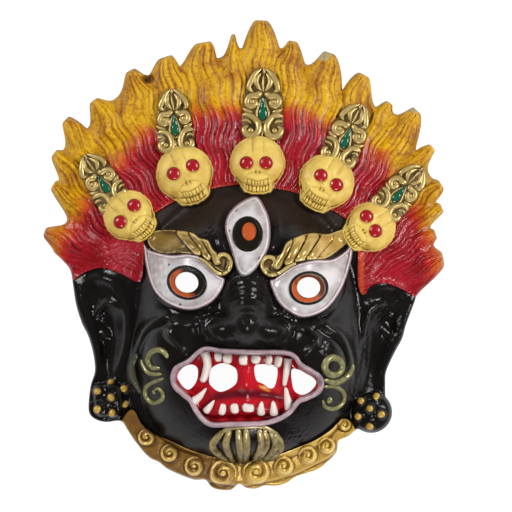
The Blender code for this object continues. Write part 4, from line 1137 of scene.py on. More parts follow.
def crest_strokes():
    """Half of a crest's scrollwork, and its middle strokes, as lines and half widths."""

    def line(*points):
        return smooth_path(points, spacing=0.05)

    def wave(path, least, more, first, last):
        return path, least + more * np.sin(np.linspace(first, last, len(path)))

    upper = spiral((0.305, -0.04), 0.205, 125.0, -1.0, 0.38, 0.05) * (1, -1)
    upper = np.vstack([line((0.03, 0.31), (0.10, 0.27), upper[0])[:-1], upper])
    lower = line((0.57, -0.34), (0.42, -0.32), (0.26, -0.38), (0.14, -0.53), (0.12, -0.74), (0.20, -0.89),
                 (0.35, -0.93), (0.48, -0.85), (0.50, -0.71), (0.40, -0.63))
    arch = line((0.30, 0.33), (0.40, 0.42), (0.375, 0.56), (0.31, 0.70), (0.20, 0.85), (0.05, 0.98))
    leaf = line((0.05, 0.36), (0.15, 0.46), (0.20, 0.60), (0.13, 0.76), (0.06, 0.86))
    filler = line((0.56, -0.13), (0.43, -0.21), (0.28, -0.25))
    sides = (
        (upper, np.linspace(0.115, 0.08, len(upper))),
        wave(lower, 0.06, 0.05, 0.3, 2.6),
        wave(arch, 0.035, 0.065, 0.5, 3.0),
        wave(leaf, 0.03, 0.06, 0.1, 3.1),
        (line((0.57, -0.50), (0.43, -0.47), (0.33, -0.54)), 0.055),
        (filler, np.linspace(0.06, 0.08, len(filler))),
        (line((0.0, 0.21), (0.09, -0.02), (0.165, -0.25), (0.13, -0.43), (0.0, -0.53)), 0.034),
    )
    middle = (
        (line((0.0, 0.84), (0.01, 0.94), (0.0, 1.0)), 0.07),
        (line((0.0, 0.34), (0.0, 0.60), (0.0, 0.80)), 0.035),
        (line((0.0, -0.60), (0.0, -0.80), (0.0, -0.92)), 0.04),
    )
    return sides, middle


# How far apart the bends are that make each crest's scrollwork uneven
CREST_WANDER = 5.0
# Centres of a crest's scrolls, as shares to one side and up, with the size of the button in each
CREST_BUTTONS = ((0.305, 0.04, 0.085), (0.33, -0.76, 0.085))


# The eyes, brows, mouth and teeth

LEFT_EYE = (
    (143, 243), (150, 250), (171, 255), (191, 254), (207, 260), (219, 275), (225, 279), (221, 291),
    (210, 303), (191, 310), (171, 305), (155, 292), (147, 272),
)
RIGHT_EYE = (
    (353, 243), (345, 251), (332, 259), (312, 260), (291, 266), (275, 278), (270, 282), (277, 300),
    (288, 311), (304, 317.5), (326, 309), (342, 288), (351, 262),
)
THIRD_EYE = (
    (255, 196), (265, 208), (270, 224), (269, 246), (259, 265), (246, 276), (238, 271), (232, 253),
    (225, 226), (234, 207),
)
THIRD_EYE_RISE = 0.0045
EYE_WHITE_RISE = 0.0008
EYE_RIM_RISE = 0.0014
EYE_RIM_WIDTH = 4.0
# Irises: middle, radii, turn, and the least and most orange inside them; the least is on the side painted in
# shade
IRISES = (
    ((187, 282.5), (20.4, 17.1), -16.0, 0.0, 1.0),
    ((308.5, 288), (20.0, 17.0), 8.0, 0.3, 1.0),
    ((247.6, 234), (15.3, 17.9), 0.0, 0.0, 0.0),
)
# The direction, in degrees, in which an iris is most orange; away from it the orange is painted darker and
# thinner as painted shade
ORANGE_LIT_SIDE = 222.0
THIRD_PUPIL = ((249, 231.6), (7.4, 9.3))
THIRD_EYE_FOOT = (248, 263)

LEFT_BROW = (
    (147, 234), (161, 229), (190, 231), (200, 237), (209, 240), (215, 250), (228, 256), (230, 265),
    (223, 273), (212, 266), (200, 257), (182, 254), (162, 254), (149, 247),
)
RIGHT_BROW = (
    (351, 228), (344, 228), (327, 233), (313, 232), (299, 235), (286, 242), (279, 254), (266, 255),
    (261, 263), (267, 272), (276, 274), (290, 265), (308, 261), (326, 259), (340, 250), (351, 240),
)
BROW_RISES = (0.0020, 0.0010)
# Lobes of the brows: line, half width and rise
LEFT_BROW_LOBES = (
    (((150, 240), (164, 242), (178, 243)), 12.0, 0.0008),
    (((182, 233), (189, 242), (198, 252)), 5.4, 0.0034),
    (((194, 234), (200, 244), (208, 257)), 5.0, 0.0034),
    (((205, 239), (210, 248), (217, 262)), 4.4, 0.0034),
)
RIGHT_BROW_LOBES = (
    (((346, 233), (333, 241), (322, 249)), 10.0, 0.0008),
    (((288, 243), (284, 252), (277, 266)), 5.2, 0.0034),
    (((300, 238), (295, 249), (288, 262)), 5.8, 0.0034),
    (((313, 237), (307, 248), (299, 260)), 6.0, 0.0034),
    (((328, 236), (320, 247), (311, 258)), 6.2, 0.0028),
)
BROW_CURLS = (
    ((199, 258), (207, 263), (215, 271), (222, 274), (229, 270), (231, 262), (227, 255.5), (220.5, 255),
     (217.5, 260), (220.5, 264)),
    ((296, 263), (288, 267), (279, 273), (270, 275), (263.5, 270), (262, 263), (266, 257.5), (272.5, 258),
     (275, 263), (271.5, 267)),
)
BROW_CURL_HALF_WIDTH = 2.5
# How far above the shell the brow curls and lips lie
LINE_LIFT = 0.0030

MOUTH = (
    (171, 376), (175, 367), (187, 360), (198, 350), (206, 347), (222, 349), (252, 350), (285, 351),
    (296, 355), (302, 363), (313, 370), (321, 376), (323.5, 384), (320, 392), (309, 398), (300, 402),
    (291, 413), (280, 420), (263, 425), (229, 426), (211, 426), (202, 421), (195, 412), (189, 401),
    (181, 394), (173, 386),
)
GUM_RISE = 0.003
# How far the black shell lies under the mouth's red lining
MOUTH_BED = 0.002
MOUTH_COLUMN = 246.0
MOUTH_VALLEY_ROW = 393.5
MOUTH_SPOT = (264.5, 388.2)
# Gums: row and half width
UPPER_GUM = (356.0, 7.0)
LOWER_GUM = (411.0, 8.0)
TONGUE = ((246.5, 352), (246, 378), (248, 402))
TONGUE_HALF_WIDTH = 7.5
MOUTH_SPACING = 0.8
LIP_HALF_WIDTH = 2.7
# The rows between which the lips turn grey with painted shade, from below
LIP_GREY_ROWS = (385.0, 352.0)
# How far the teeth's middles lie above the gums, and half a blunt tooth's thickness
FANG_LIFT = 0.0012
BLUNT_TOOTH_LIFT = 0.0008
BLUNT_TOOTH_RISE = 0.0026
# Teeth: line from root to tip, half width at the root and at the tip
FANGS = (
    (((204.5, 351), (207.5, 362), (205.5, 374), (202, 382)), 5.0, 3.2),
    (((288, 358), (286.5, 370), (284, 386)), 4.3, 2.0),
    (((191, 403), (199, 397), (206.5, 388)), 5.0, 1.0),
    (((289.5, 408.5), (287.5, 399), (285.5, 387)), 4.8, 1.6),
    (((206, 411), (210, 406), (214.5, 400)), 4.0, 0.8),
    (((261, 413), (261, 407), (262, 401)), 4.4, 1.4),
    (((274, 413.5), (273.5, 407), (273, 400.5)), 4.4, 1.6),
)
# Blunt teeth: middle, width, length, turn
BLUNT_TEETH = (
    ((218.3, 356.0), 7.2, 10.5, 7.0), ((227.8, 357.2), 8.4, 12.6, -5.0), ((243.5, 359.0), 8.0, 12.0, 4.0),
    ((255.5, 358.2), 8.8, 10.6, -3.0), ((268.6, 359.0), 7.0, 11.8, 6.0), ((277.8, 360.5), 7.6, 12.4, -9.0),
    ((222.6, 409.2), 7.0, 11.4, -7.0), ((234.6, 408.2), 8.4, 10.0, 5.0), ((248.2, 407.6), 11.0, 9.0, -7.0),
)

LEFT_CURLS = (
    (((168, 358), (165, 352.5), (158.5, 349.5), (151, 353), (148.5, 360.5), (152, 367), (160, 368)), 3.1),
    (((141, 359), (144, 367), (150, 373.5), (162, 374)), 2.5),
    (((164, 378), (153, 382.5), (146, 388), (146, 397), (153.5, 403), (162, 399.5), (163, 393), (158, 388.5),
      (153.5, 391.5)), 2.7),
)
WORN_CURL = (((137, 354), (132, 366), (134, 380), (141, 394)), 3.4)
RIGHT_CURLS = (
    (((324, 379.5), (335, 382.5), (345, 378), (351, 371), (353, 364)), 3.3),
    (((323, 386.5), (334, 386.5), (342, 391), (344.5, 398), (341, 405), (333, 409), (325, 406.5),
      (322.5, 400)), 2.5),
)
RIGHT_RING = ((333, 366), 8.6, 3.8)
# Round ends of curls: middle and half width
CURL_BLOBS = (((329, 400), 4.2), ((154, 392), 3.0))
CURL_LIFT = 0.0004
BLOB_LIFT = 0.0002
BLOB_RISE = 0.0014

# Beard strands: top, middle and bottom of each, and its half width
BEARD = (
    (((224, 430), (213, 446), (229, 463)), 3.9),
    (((230, 428.5), (226.5, 446), (235, 465)), 3.8),
    (((238, 428), (240.2, 446), (241, 467)), 4.0),
    (((246, 427.5), (246.5, 447), (244, 469)), 4.0),
    (((259, 428), (261, 446), (251, 466)), 3.8),
    (((264, 428.5), (266.5, 444), (256, 465)), 3.4),
    (((270, 430), (275, 446), (261, 463.5)), 3.7),
    (((274, 431), (280.5, 447), (267, 461.5)), 3.7),
)
BEARD_LIFT = 0.0010
BEARD_ROOT_LIFT = 0.0012
BEARD_ROOT = (((220, 433), (230, 428), (247, 426.5), (264, 427), (277, 434)), 2.6)

STUDS = (
    (97, 392), (110.5, 383), (123.6, 389), (110.7, 398), (124.6, 404.6), (96.7, 410), (111.5, 413.6),
    (361, 401), (376.7, 397), (370, 409), (358.4, 417), (381.6, 415), (370, 427),
)
STUD_RADIUS = 4.0
STUD_BED = 0.0012
STUD_RISE = 0.0022

COLLAR_LINE = (
    (128, 419), (139, 435), (156, 451), (178, 464), (200, 469), (222, 473), (240, 475), (256, 473),
    (285, 466), (308, 456), (326, 446), (341, 431), (349, 427),
)
COLLAR_RISE = 0.0042
COLLAR_HALF_WIDTH = 12.5
# The round middle of each scroll, as a share of its radius
SCROLL_BOSS = 0.24
# Collar scrolls: column, row, radius, where the scroll starts and how many turns it makes
COLLAR_SCROLLS = (
    (146, 438, 9.0, 40.0, 1.1), (169, 454, 9.5, 30.0, 1.1), (194, 467, 10.5, 20.0, 1.1),
    (223, 474, 15.0, 60.0, 1.5), (256, 472.5, 14.5, 120.0, -1.5), (284, 467, 10.5, 200.0, -1.3),
    (308, 456, 10.0, 210.0, -1.3), (327, 446.5, 9.0, 215.0, -1.2), (345, 425.5, 6.5, 220.0, -1.0),
)


# Painted shade darkens the left eye's white from its outer corner to this column
EYE_SHADE_END = 180.0
EYE_SHADE_WIDTH = 30.0


def eye_lift(x, y, inset, third):
    """The white of an eye inside its raised pink rim. The third eye's stands higher, with a lobed foot."""
    lift = EYE_WHITE_RISE * ease(inset / 1.2)
    lift += EYE_RIM_RISE * ease(1.0 - np.abs(inset - 0.5 * EYE_RIM_WIDTH) / (0.5 * EYE_RIM_WIDTH))
    rim = ease((EYE_RIM_WIDTH - inset) / 1.4)
    # Painted shade: each white darkens towards its edge, and the left eye's darkens towards its outer corner.
    dusk = ease((17.0 - inset) / 13.0) * (0.65 + 0.4 * waver(x, y, 7.0, 4) + 0.2 * waver(x, y, 2.0, 5))
    left_shade = ease((EYE_SHADE_END - x) / EYE_SHADE_WIDTH) * (0.8 + 0.5 * waver(x, y, 1.6, 12))
    dusk = np.maximum(dusk, left_shade)
    specks = np.zeros(x.shape)
    if third:
        lift += THIRD_EYE_RISE * ease(inset / 4.0)
        foot = np.hypot((x - THIRD_EYE_FOOT[0]) / 8.5, (y - THIRD_EYE_FOOT[1]) / 9.0)
        lift += 0.0016 * rounded(foot)
        rim *= 1.0 - 0.8 * ease((y - 250.0) / 14.0)
        specks = ease(1.0 - np.abs(inset - EYE_RIM_WIDTH) / 1.6) * ease(3.0 * waver(x, y, 3.2, 9) - 0.9)
    return lift, {"rim": rim, "specks": specks, "dusk": dusk}


def eye_middle_rise(third):
    return EYE_WHITE_RISE + (THIRD_EYE_RISE if third else 0.0)


def iris_lift(x, y, inset, centre, radii, turn, least, most, third):
    right, up = turned(x, y, centre, turn)
    off = np.hypot(right / radii[0], up / radii[1]) + 0.025 * waver(x, y, 5.0, 3)
    lift = eye_middle_rise(third) + 0.0009 * ease(inset / 1.2) + 0.0004 * ease(1.0 - np.abs(off - 0.88) / 0.1)
    # Painted shade: away from the lit side the orange ring thins and turns brown, with uneven patches.
    facing = np.cos(np.arctan2(up, right) - math.radians(ORANGE_LIT_SIDE))
    share = least + (most - least) * ease(0.5 + 1.2 * facing)
    orange = np.zeros(x.shape) if third else share * ease((0.86 - off) / 0.05) * ease((off - 0.58) / 0.04)
    burnt = orange * ease(0.5 - 0.8 * facing + 0.7 * waver(x, y, 3.0, 7))
    return lift, {"orange": orange, "burnt": burnt}


def pupil_lift(x, y, inset):
    right, up = turned(x, y, THIRD_PUPIL[0], 0.0)
    off = np.hypot(right / THIRD_PUPIL[1][0], up / THIRD_PUPIL[1][1])
    lift = eye_middle_rise(True) + 0.0010 + 0.0004 * ease(inset / 0.8)
    lift += 0.0016 * rounded(off)
    # Brown towards the pupil's edge, in uneven patches
    burnt = 0.5 * ease(0.5 + waver(x, y, 5.0, 2)) * ease((off - 0.5) / 0.4)
    return lift, {"orange": np.ones(x.shape), "burnt": burnt}


def brow_lift(x, y, inset, lobes):
    """A leaf brow: smooth and low outside, with round lobes that run down towards the nose."""
    lift = BROW_RISES[0] * ease(inset / 1.5) + BROW_RISES[1] * ease(inset / 8.0)
    high = np.zeros(x.shape)
    for line, half_width, rise in lobes:
        high = np.maximum(high, ridge(x, y, line, half_width, rise, taper=0.25))
    # The right brow is painted brighter: partly painted light where it is better lit, partly less wear.
    gilt = ease((x - 282.0) / 18.0)
    flat = (1.0 - ease(high / 0.0012)) * (1.0 - 0.8 * gilt)
    return lift + high * ease(inset / 2.0), {"flat": flat, "gilt": gilt}


def gum_lift(x, y, inset):
    """The red inside of the mouth: two gums, the tongue, and a valley behind the lower teeth, with painted
    shade in it and just inside the lips.
    """
    gums = np.maximum(bell(y, *UPPER_GUM), bell(y, *LOWER_GUM))
    lift = 0.0005 + GUM_RISE * ease((inset - 4.0) / 5.0) * gums
    lift += ridge(x, y, TONGUE, TONGUE_HALF_WIDTH, 1.3 * GUM_RISE, soft=True)
    across = x - MOUTH_COLUMN
    valley = bell(y - 0.004 * across**2, MOUTH_VALLEY_ROW, 5.0) * ease((46.0 - np.abs(across)) / 20.0)
    lift -= 0.0013 * valley
    column, row = MOUTH_SPOT
    spot = ease(1.5 - np.hypot((x - column) / 5.5, (y - row + 0.45 * (column - x)) / 2.0))
    # Painted shade: darker in the valley and just inside the lips' edge.
    edge = ease((8.0 - inset) / 5.0)
    return lift, {"deep": np.maximum(valley, 0.85 * edge), "spot": spot}


def gum_height(x, y):
    loop = smooth_path(MOUTH, closed=True, spacing=2.4)
    gap, _ = path_distance(x, y, loop, closed=True)
    return base_height(x, y) + gum_lift(x, y, gap)[0]


# Geometry Nodes for what follows a line and for what repeats

def fill(tree, socket, value):
    """Links another node's output to an input, or sets the input to a plain value."""
    if isinstance(value, bpy.types.NodeSocket):
        tree.links.new(value, socket)
    else:
        socket.default_value = value


def put(tree, kind, *values, out=0, **settings):
    """One output of a new node.

    The values fill its inputs in order. A key with a capital names an input, and any other key a property.
    """
    node = tree.nodes.new(kind)
    for key, value in settings.items():
        if key[0].islower():
            setattr(node, key, value)
    for index, value in enumerate(values):
        fill(tree, node.inputs[index], value)
    for key, value in settings.items():
        if key[0].isupper():
            fill(tree, node.inputs[key.replace("_", " ")], value)
    return node.outputs[out]


def node_tree(name, kind, inputs, outputs):
    """A node group with named sockets, and the two ends inside it.

    Each socket is given as its default, a whole number or a fraction, or else as its type.
    """
    tree = bpy.data.node_groups.new(name, kind)
    for direction, sockets in (("INPUT", inputs), ("OUTPUT", outputs)):
        for label, value in sockets.items():
            given_type = isinstance(value, str)
            suffix = value if given_type else type(value).__name__.capitalize()
            socket = tree.interface.new_socket(label, in_out=direction, socket_type="NodeSocket" + suffix)
            if not given_type:
                socket.default_value = value
    return tree, tree.nodes.new("NodeGroupInput").outputs, tree.nodes.new("NodeGroupOutput").inputs


def times(tree, first, second):
    return put(tree, "ShaderNodeMath", first, second, operation="MULTIPLY")


def plus(tree, first, second):
    return put(tree, "ShaderNodeMath", first, second, operation="ADD")


def minus(tree, first, second):
    return put(tree, "ShaderNodeMath", first, second, operation="SUBTRACT")


def wander(tree, uneven, amount):
    """Noise moved so that it lies about 0, times an amount."""
    return times(tree, minus(tree, uneven, 0.5), amount)


def finish_geometry(tree, given, output, shape):
    """The tree's end: uneven as by hand, realised, with its relief stored, smooth and painted.

    The relief is how far up each place faces; the paint lightens upward-facing places as painted highlight
    and darkens sideways-facing ones as painted shade.
    """
    normal = put(tree, "GeometryNodeInputNormal")
    noise = put(tree, "ShaderNodeTexNoise", noise_dimensions="4D", W=given["Seed"], Scale=260.0, Detail=2.0)
    push = put(tree, "ShaderNodeVectorMath", normal, operation="SCALE",
               Scale=wander(tree, noise, given["Unevenness"]))
    moved = put(tree, "GeometryNodeSetPosition", shape, Offset=push)
    real = put(tree, "GeometryNodeRealizeInstances", moved)
    # How far up each place faces, read by the paint for painted highlight on tops and painted shade on sides
    level = put(tree, "ShaderNodeMapRange", put(tree, "ShaderNodeSeparateXYZ", normal, out="Z"))
    stored = put(tree, "GeometryNodeStoreNamedAttribute", real, data_type="FLOAT", domain="POINT",
                 Name="relief", Value=level)
    smooth = put(tree, "GeometryNodeSetShadeSmooth", stored)
    fill(tree, output[0], put(tree, "GeometryNodeSetMaterial", smooth, Material=given["Material"]))


@functools.cache
def strand_tree():
    """A round strand swept along every line of the input, as wide at each point as its width says."""
    tree, given, output = node_tree("Strand along lines", "GeometryNodeTree", {
        "Lines": "Geometry", "Flatness": 0.8, "Sides": 12, "Unevenness": 0.0001, "Seed": 1.0,
        "Material": "Material",
    }, {"Strands": "Geometry"})
    curve = put(tree, "GeometryNodeMeshToCurve", given["Lines"])
    flat = put(tree, "GeometryNodeSetCurveNormal", curve, mode="Z_UP")
    circle = put(tree, "GeometryNodeCurvePrimitiveCircle", given["Sides"], Radius=1.0)
    squash = put(tree, "ShaderNodeCombineXYZ", 1.0, given["Flatness"], 1.0)
    profile = put(tree, "GeometryNodeTransform", circle, Scale=squash)
    width = put(tree, "GeometryNodeInputNamedAttribute", "width", data_type="FLOAT")
    swept = put(tree, "GeometryNodeCurveToMesh", flat, profile, Scale=width, Fill_Caps=True)
    finish_geometry(tree, given, output, swept)
    return tree


@functools.cache
def studs_tree():
    """A block on every point of the input, rounded off to a low dome or a blunt tooth."""
    tree, given, output = node_tree("Knobs on points", "GeometryNodeTree", {
        "Points": "Geometry", "Squareness": 0.5, "Detail": 3, "Unevenness": 0.0002, "Seed": 1.0,
        "Material": "Material",
    }, {"Studs": "Geometry"})
    block = put(tree, "GeometryNodeMeshCube", (2.0, 2.0, 2.0), 2, 2, 2)
    knob = put(tree, "GeometryNodeSubdivisionSurface", block, given["Detail"],
               Edge_Crease=given["Squareness"])
    size = put(tree, "GeometryNodeInputNamedAttribute", "size", data_type="FLOAT_VECTOR")
    turn = put(tree, "GeometryNodeInputNamedAttribute", "turn", data_type="FLOAT")
    rotation = put(tree, "FunctionNodeEulerToRotation", put(tree, "ShaderNodeCombineXYZ", Z=turn))
    copies = put(tree, "GeometryNodeInstanceOnPoints", given["Points"], Instance=knob, Rotation=rotation,
                 Scale=size)
    finish_geometry(tree, given, output, put(tree, "GeometryNodeRealizeInstances", copies))
    return tree


def made_by_nodes(name, mesh, tree, settings, material):
    """The plain mesh that a tree makes from a helper, as a finished piece."""
    helper = add_object(name + " guide", mesh)
    modifier = helper.modifiers.new("maker", "NODES")
    modifier.node_group = tree
    identifiers = {item.name: item.identifier for item in tree.interface.items_tree if item.in_out == "INPUT"}
    for label, value in {**settings, "Material": material}.items():
        modifier[identifiers[label]] = value
    bpy.context.view_layer.update()
    made = helper.evaluated_get(bpy.context.evaluated_depsgraph_get())
    result = bpy.data.meshes.new_from_object(made)
    bpy.data.objects.remove(helper)
    if not result.polygons:
        raise RuntimeError(name + " came out empty")
    result.name = name
    add_piece(name, result)


def strands(name, lines, material, flatness=0.8, sides=12, unevenness=0.0001, seed=1.0):
    """A piece of round strands. Each line is (points on the grid, heights, half widths, closed)."""
    vertices, edges, widths = [], [], []
    for points, heights, half_widths, closed in lines:
        first, count = len(vertices), len(points)
        vertices.extend(in_metres(points, heights).tolist())
        widths.extend(np.broadcast_to(half_widths, count) * GRID)
        edges.extend((first + k, first + k + 1) for k in range(count - 1))
        if closed:
            edges.append((first + count - 1, first))
    mesh = bpy.data.meshes.new(name + " lines")
    mesh.from_pydata(vertices, edges, [])
    store(mesh, "width", widths)
    settings = {"Flatness": flatness, "Sides": sides, "Unevenness": unevenness, "Seed": seed}
    made_by_nodes(name, mesh, strand_tree(), settings, material)


def studs(name, places, material, squareness=0.0, unevenness=0.0002, seed=1.0, detail=3):
    """A piece of like knobs. Each place is (column, row, height, half sizes in metres, turn in degrees)."""
    columns, rows, heights, sizes, turns = zip(*places)
    mesh = bpy.data.meshes.new(name + " places")
    mesh.from_pydata(in_metres(np.column_stack([columns, rows]), np.array(heights)).tolist(), [], [])
    store(mesh, "size", np.ravel(sizes), "FLOAT_VECTOR", "vector")
    store(mesh, "turn", np.radians(turns) + LEAN)
    settings = {"Squareness": squareness, "Detail": detail, "Unevenness": unevenness, "Seed": seed}
    made_by_nodes(name, mesh, studs_tree(), settings, material)


def swelling(path, least, more, power=1.0):
    """Shares of a width along a line: least at its ends, and more in its middle."""
    return least + more * np.sin(math.pi * np.linspace(0.0, 1.0, len(path))) ** power


def laid(path, widths, lift, closed=False):
    """A line for strands that lies on the shell, with round ends where it isn't closed."""
    if not closed:
        steps = np.minimum(np.arange(len(path)), np.arange(len(path))[::-1])
        widths = widths * np.sqrt(np.clip((steps + 0.4) / 3.0, 0.0, 1.0))
    return path, base_height(*path.T) + lift, widths, closed


# Paints

def paint(red, green, blue):
    """A colour given as it looks on a screen, from 0 to 255, as the shader's own linear value."""
    shares = [value / 255.0 for value in (red, green, blue)]
    return tuple(s / 12.92 if s <= 0.04045 else ((s + 0.055) / 1.055) ** 2.4 for s in shares)


def shade(colour):
    """A colour for a shader, from the name of a property or from how it looks on a screen."""
    if isinstance(colour, str):
        return (*getattr(bpy.context.scene.mask_colours, colour), 1.0)
    return (*paint(*colour), 1.0)


def mixed(tree, share, first, second, blend="MIX"):
    """One colour over another, by a share. The first may be a socket, or as shade takes it."""
    node = put(tree, "ShaderNodeMix", share, data_type="RGBA", blend_type=blend).node
    fill(tree, node.inputs[6], first if isinstance(first, bpy.types.NodeSocket) else shade(first))
    fill(tree, node.inputs[7], shade(second))
    return node.outputs[2]


def ranged(tree, value, *limits):
    """A smooth step from 0 to 1 between two limits, or between two more values."""
    return put(tree, "ShaderNodeMapRange", value, *limits, interpolation_type="SMOOTHSTEP")


def noise_in(tree, place, scale, detail, **settings):
    return put(tree, "ShaderNodeTexNoise", place, Scale=scale, Detail=detail, **settings)


def attribute(tree, name):
    return put(tree, "ShaderNodeAttribute", attribute_type="GEOMETRY", attribute_name=name, out="Fac")


def grouped(tree, group, **inputs):
    """The outputs of a node group, placed with its inputs."""
    return put(tree, "ShaderNodeGroup", node_tree=group, **inputs).node.outputs


@functools.cache
def brush_marks():
    """Uneven brushed paint: a tint that wanders, and a height with fine ridges and specks."""
    tree, given, output = node_tree("Brush marks", "ShaderNodeTree", {
        "Vector": "Vector", "Scale": 60.0, "Speckle": 0.4,
    }, {"Tint": "Float", "Height": "Float"})
    broad = noise_in(tree, given["Vector"], given["Scale"], 5.0, Roughness=0.62, Distortion=0.6)
    fine = noise_in(tree, given["Vector"], times(tree, given["Scale"], 7.0), 3.0, Roughness=0.55)
    fill(tree, output["Tint"], ranged(tree, broad, 0.3, 0.7))
    fill(tree, output["Height"], plus(tree, broad, times(tree, fine, given["Speckle"])))
    return tree


@functools.cache
def handled_relief():
    """Masks for the low places and the high ones, broken up by noise: partly paint that settles and wears,
    partly painted shade and painted highlight.
    """
    tree, given, output = node_tree("Relief wear and shade", "ShaderNodeTree", {
        "Vector": "Vector", "Relief": 0.5, "Breakup": 0.2,
    }, {"Settled and shaded": "Float", "Rubbed and lit": "Float"})
    uneven = noise_in(tree, given["Vector"], 300.0, 3.0)
    level = plus(tree, given["Relief"], wander(tree, uneven, given["Breakup"]))
    fill(tree, output["Settled and shaded"], ranged(tree, level, 0.5, 0.18))
    fill(tree, output["Rubbed and lit"], ranged(tree, level, 0.56, 0.9))
    return tree


@functools.cache
def chipped_paint():
    """A mask of small chips, where specks of a cell pattern pass a threshold."""
    tree, given, output = node_tree("Chipped paint", "ShaderNodeTree", {
        "Vector": "Vector", "Scale": 120.0, "Amount": 0.1,
    }, {"Chips": "Float"})
    cells = put(tree, "ShaderNodeTexVoronoi", given["Vector"], Scale=given["Scale"], out="Distance")
    distance = plus(tree, cells, times(tree, noise_in(tree, given["Vector"], 700.0, 2.0), 0.25))
    patches = ranged(tree, noise_in(tree, given["Vector"], 45.0, 2.0), 0.48, 0.66)
    reach = plus(tree, times(tree, given["Amount"], patches), 0.08)
    fill(tree, output["Chips"], ranged(tree, minus(tree, reach, distance), -0.01, 0.01))
    return tree


# How much rougher the paint is where it is dullest
SATIN_ROUGHNESS = 0.3


def new_material(name):
    """A material, and the inputs of its shader."""
    material = bpy.data.materials.new(name)
    material.use_nodes = True
    return material, material.node_tree.nodes["Principled BSDF"].inputs


def painted(name, base, second=None, settled_and_shade=None, rubbed_and_lit=None, roughness=0.3, metallic=0.0, brush=60.0,
            tint=0.5, depth=0.00012, breakup=0.25, layers=(), over=None, chips=None, speckle=0.4,
            settled_and_shade_share=1.0, rubbed_and_lit_share=1.0, satin=None, shine=0.5):
    """A hand-painted finish on a cast surface.

    base and second are the paint's two shades. The third colour lies where the relief is low and the fourth
    where it is high: partly paint that settles and wears, and partly painted shade in hollows and on sides,
    with painted highlight on high and upward-facing places. base may also be a function that takes the tree
    and the places, and paints without the others. Each of the layers is a named value, the colour it brings
    and its share. over takes the tree, the colour so far and the places, and gives the colour back. chips are
    their amount and colour. satin names the value that says where the paint is duller.
    """
    material, shader = new_material(name)
    tree = material.node_tree
    place = put(tree, "ShaderNodeTexCoord", out="Object")
    marks = grouped(tree, brush_marks(), Vector=place, Scale=brush, Speckle=speckle)
    if callable(base):
        colour = base(tree, place)
    else:
        colour = mixed(tree, times(tree, marks["Tint"], tint), base, second)
    if over:
        colour = over(tree, colour, place)
    for value, layer, share in layers:
        colour = mixed(tree, times(tree, ranged(tree, attribute(tree, value)), share), colour, layer)
    # Painted shade and highlight from the relief: darker where it is low, lighter where it is high, partly
    # wear as well.
    if settled_and_shade:
        relief = attribute(tree, "relief")
        worn = grouped(tree, handled_relief(), Vector=place, Relief=relief, Breakup=breakup)
        colour = mixed(tree, times(tree, worn["Settled and shaded"], settled_and_shade_share), colour, settled_and_shade)
        colour = mixed(tree, times(tree, worn["Rubbed and lit"], rubbed_and_lit_share), colour, rubbed_and_lit)
    if chips:
        amount, chip_colour = chips
        mask = grouped(tree, chipped_paint(), Vector=place, Amount=amount)["Chips"]
        colour = mixed(tree, mask, colour, chip_colour)
    fill(tree, shader["Base Color"], colour)
    rough = ranged(tree, marks["Tint"], 0.0, 1.0, roughness * 0.8, roughness * 1.3)
    if satin:
        rough = plus(tree, rough, times(tree, attribute(tree, satin), SATIN_ROUGHNESS))
    fill(tree, shader["Roughness"], rough)
    bump = put(tree, "ShaderNodeBump", Strength=1.0, Distance=depth, Height=marks["Height"])
    fill(tree, shader["Normal"], bump)
    fill(tree, shader["Metallic"], metallic)
    fill(tree, shader["Specular IOR Level"], shine)
    return material


FLAME_STOPS = ((0.0, "crimson"), (0.24, "scarlet"), (0.46, "orange"), (0.70, "yellow"))


def flame_colour(tree, place):
    """Crimson at the face, orange, then yellow at the tips, with painted shade in the grooves, and bare at a
    few tips.
    """
    shift = wander(tree, noise_in(tree, place, 130.0, 3.0), 0.35)
    ramp = put(tree, "ShaderNodeValToRGB", plus(tree, attribute(tree, "warmth"), shift)).node
    while len(ramp.color_ramp.elements) < len(FLAME_STOPS):
        ramp.color_ramp.elements.new(0.5)
    for element, (position, name) in zip(ramp.color_ramp.elements, FLAME_STOPS):
        element.position = position
        element.color = shade(name)
    mottle = ranged(tree, noise_in(tree, place, 60.0, 7.0, Roughness=0.72), 0.42, 0.66, 0.0, 0.8)
    specks = ranged(tree, noise_in(tree, place, 520.0, 3.0), 0.50, 0.66, 0.0, 0.65)
    colour = mixed(tree, mottle, ramp.outputs[0], "mottle", "MULTIPLY")
    colour = mixed(tree, specks, colour, "mottle", "MULTIPLY")
    # Painted shade in the grooves and valleys
    colour = mixed(tree, times(tree, attribute(tree, "groove"), 0.85), colour, "groove", "MULTIPLY")
    for name in ("rim", "lock"):
        colour = mixed(tree, attribute(tree, name), colour, name)
    bare = ranged(tree, plus(tree, attribute(tree, "bare"), shift), 0.35, 0.75)
    colour = mixed(tree, bare, colour, "undercoat")
    return mixed(tree, times(tree, attribute(tree, "scorch"), 0.75), colour, "scorch")


def greyer_above(tree, under, place):
    """The lips' paint, turned grey towards the upper lip as painted shade."""
    low, high = in_metres([(NOSE_COLUMN, row) for row in LIP_GREY_ROWS], np.zeros(2))[:, 1]
    height = put(tree, "ShaderNodeSeparateXYZ", place, out="Y")
    return mixed(tree, ranged(tree, height, low, high, 0.0, 0.85), under, "lip_grey")


def gold(name, base="gold", bright="gold_bright", roughness=0.32, rubbed_and_lit_share=0.8, **settings):
    """Antique gold: bronze in the recesses and bright on the high places, partly patina and wear, partly
    painted shade and painted highlight.
    """
    return painted(name, base, "gold_shade", "gold_recess", bright, roughness, metallic=0.35, brush=90.0,
                   tint=0.6, depth=0.00014, breakup=0.5, rubbed_and_lit_share=rubbed_and_lit_share, **settings)


# What a user may change

def pigment(name, description, *screen):
    return bpy.props.FloatVectorProperty(name=name, description=description, subtype="COLOR", size=3, min=0.0,
                                         max=1.0, default=paint(*screen))


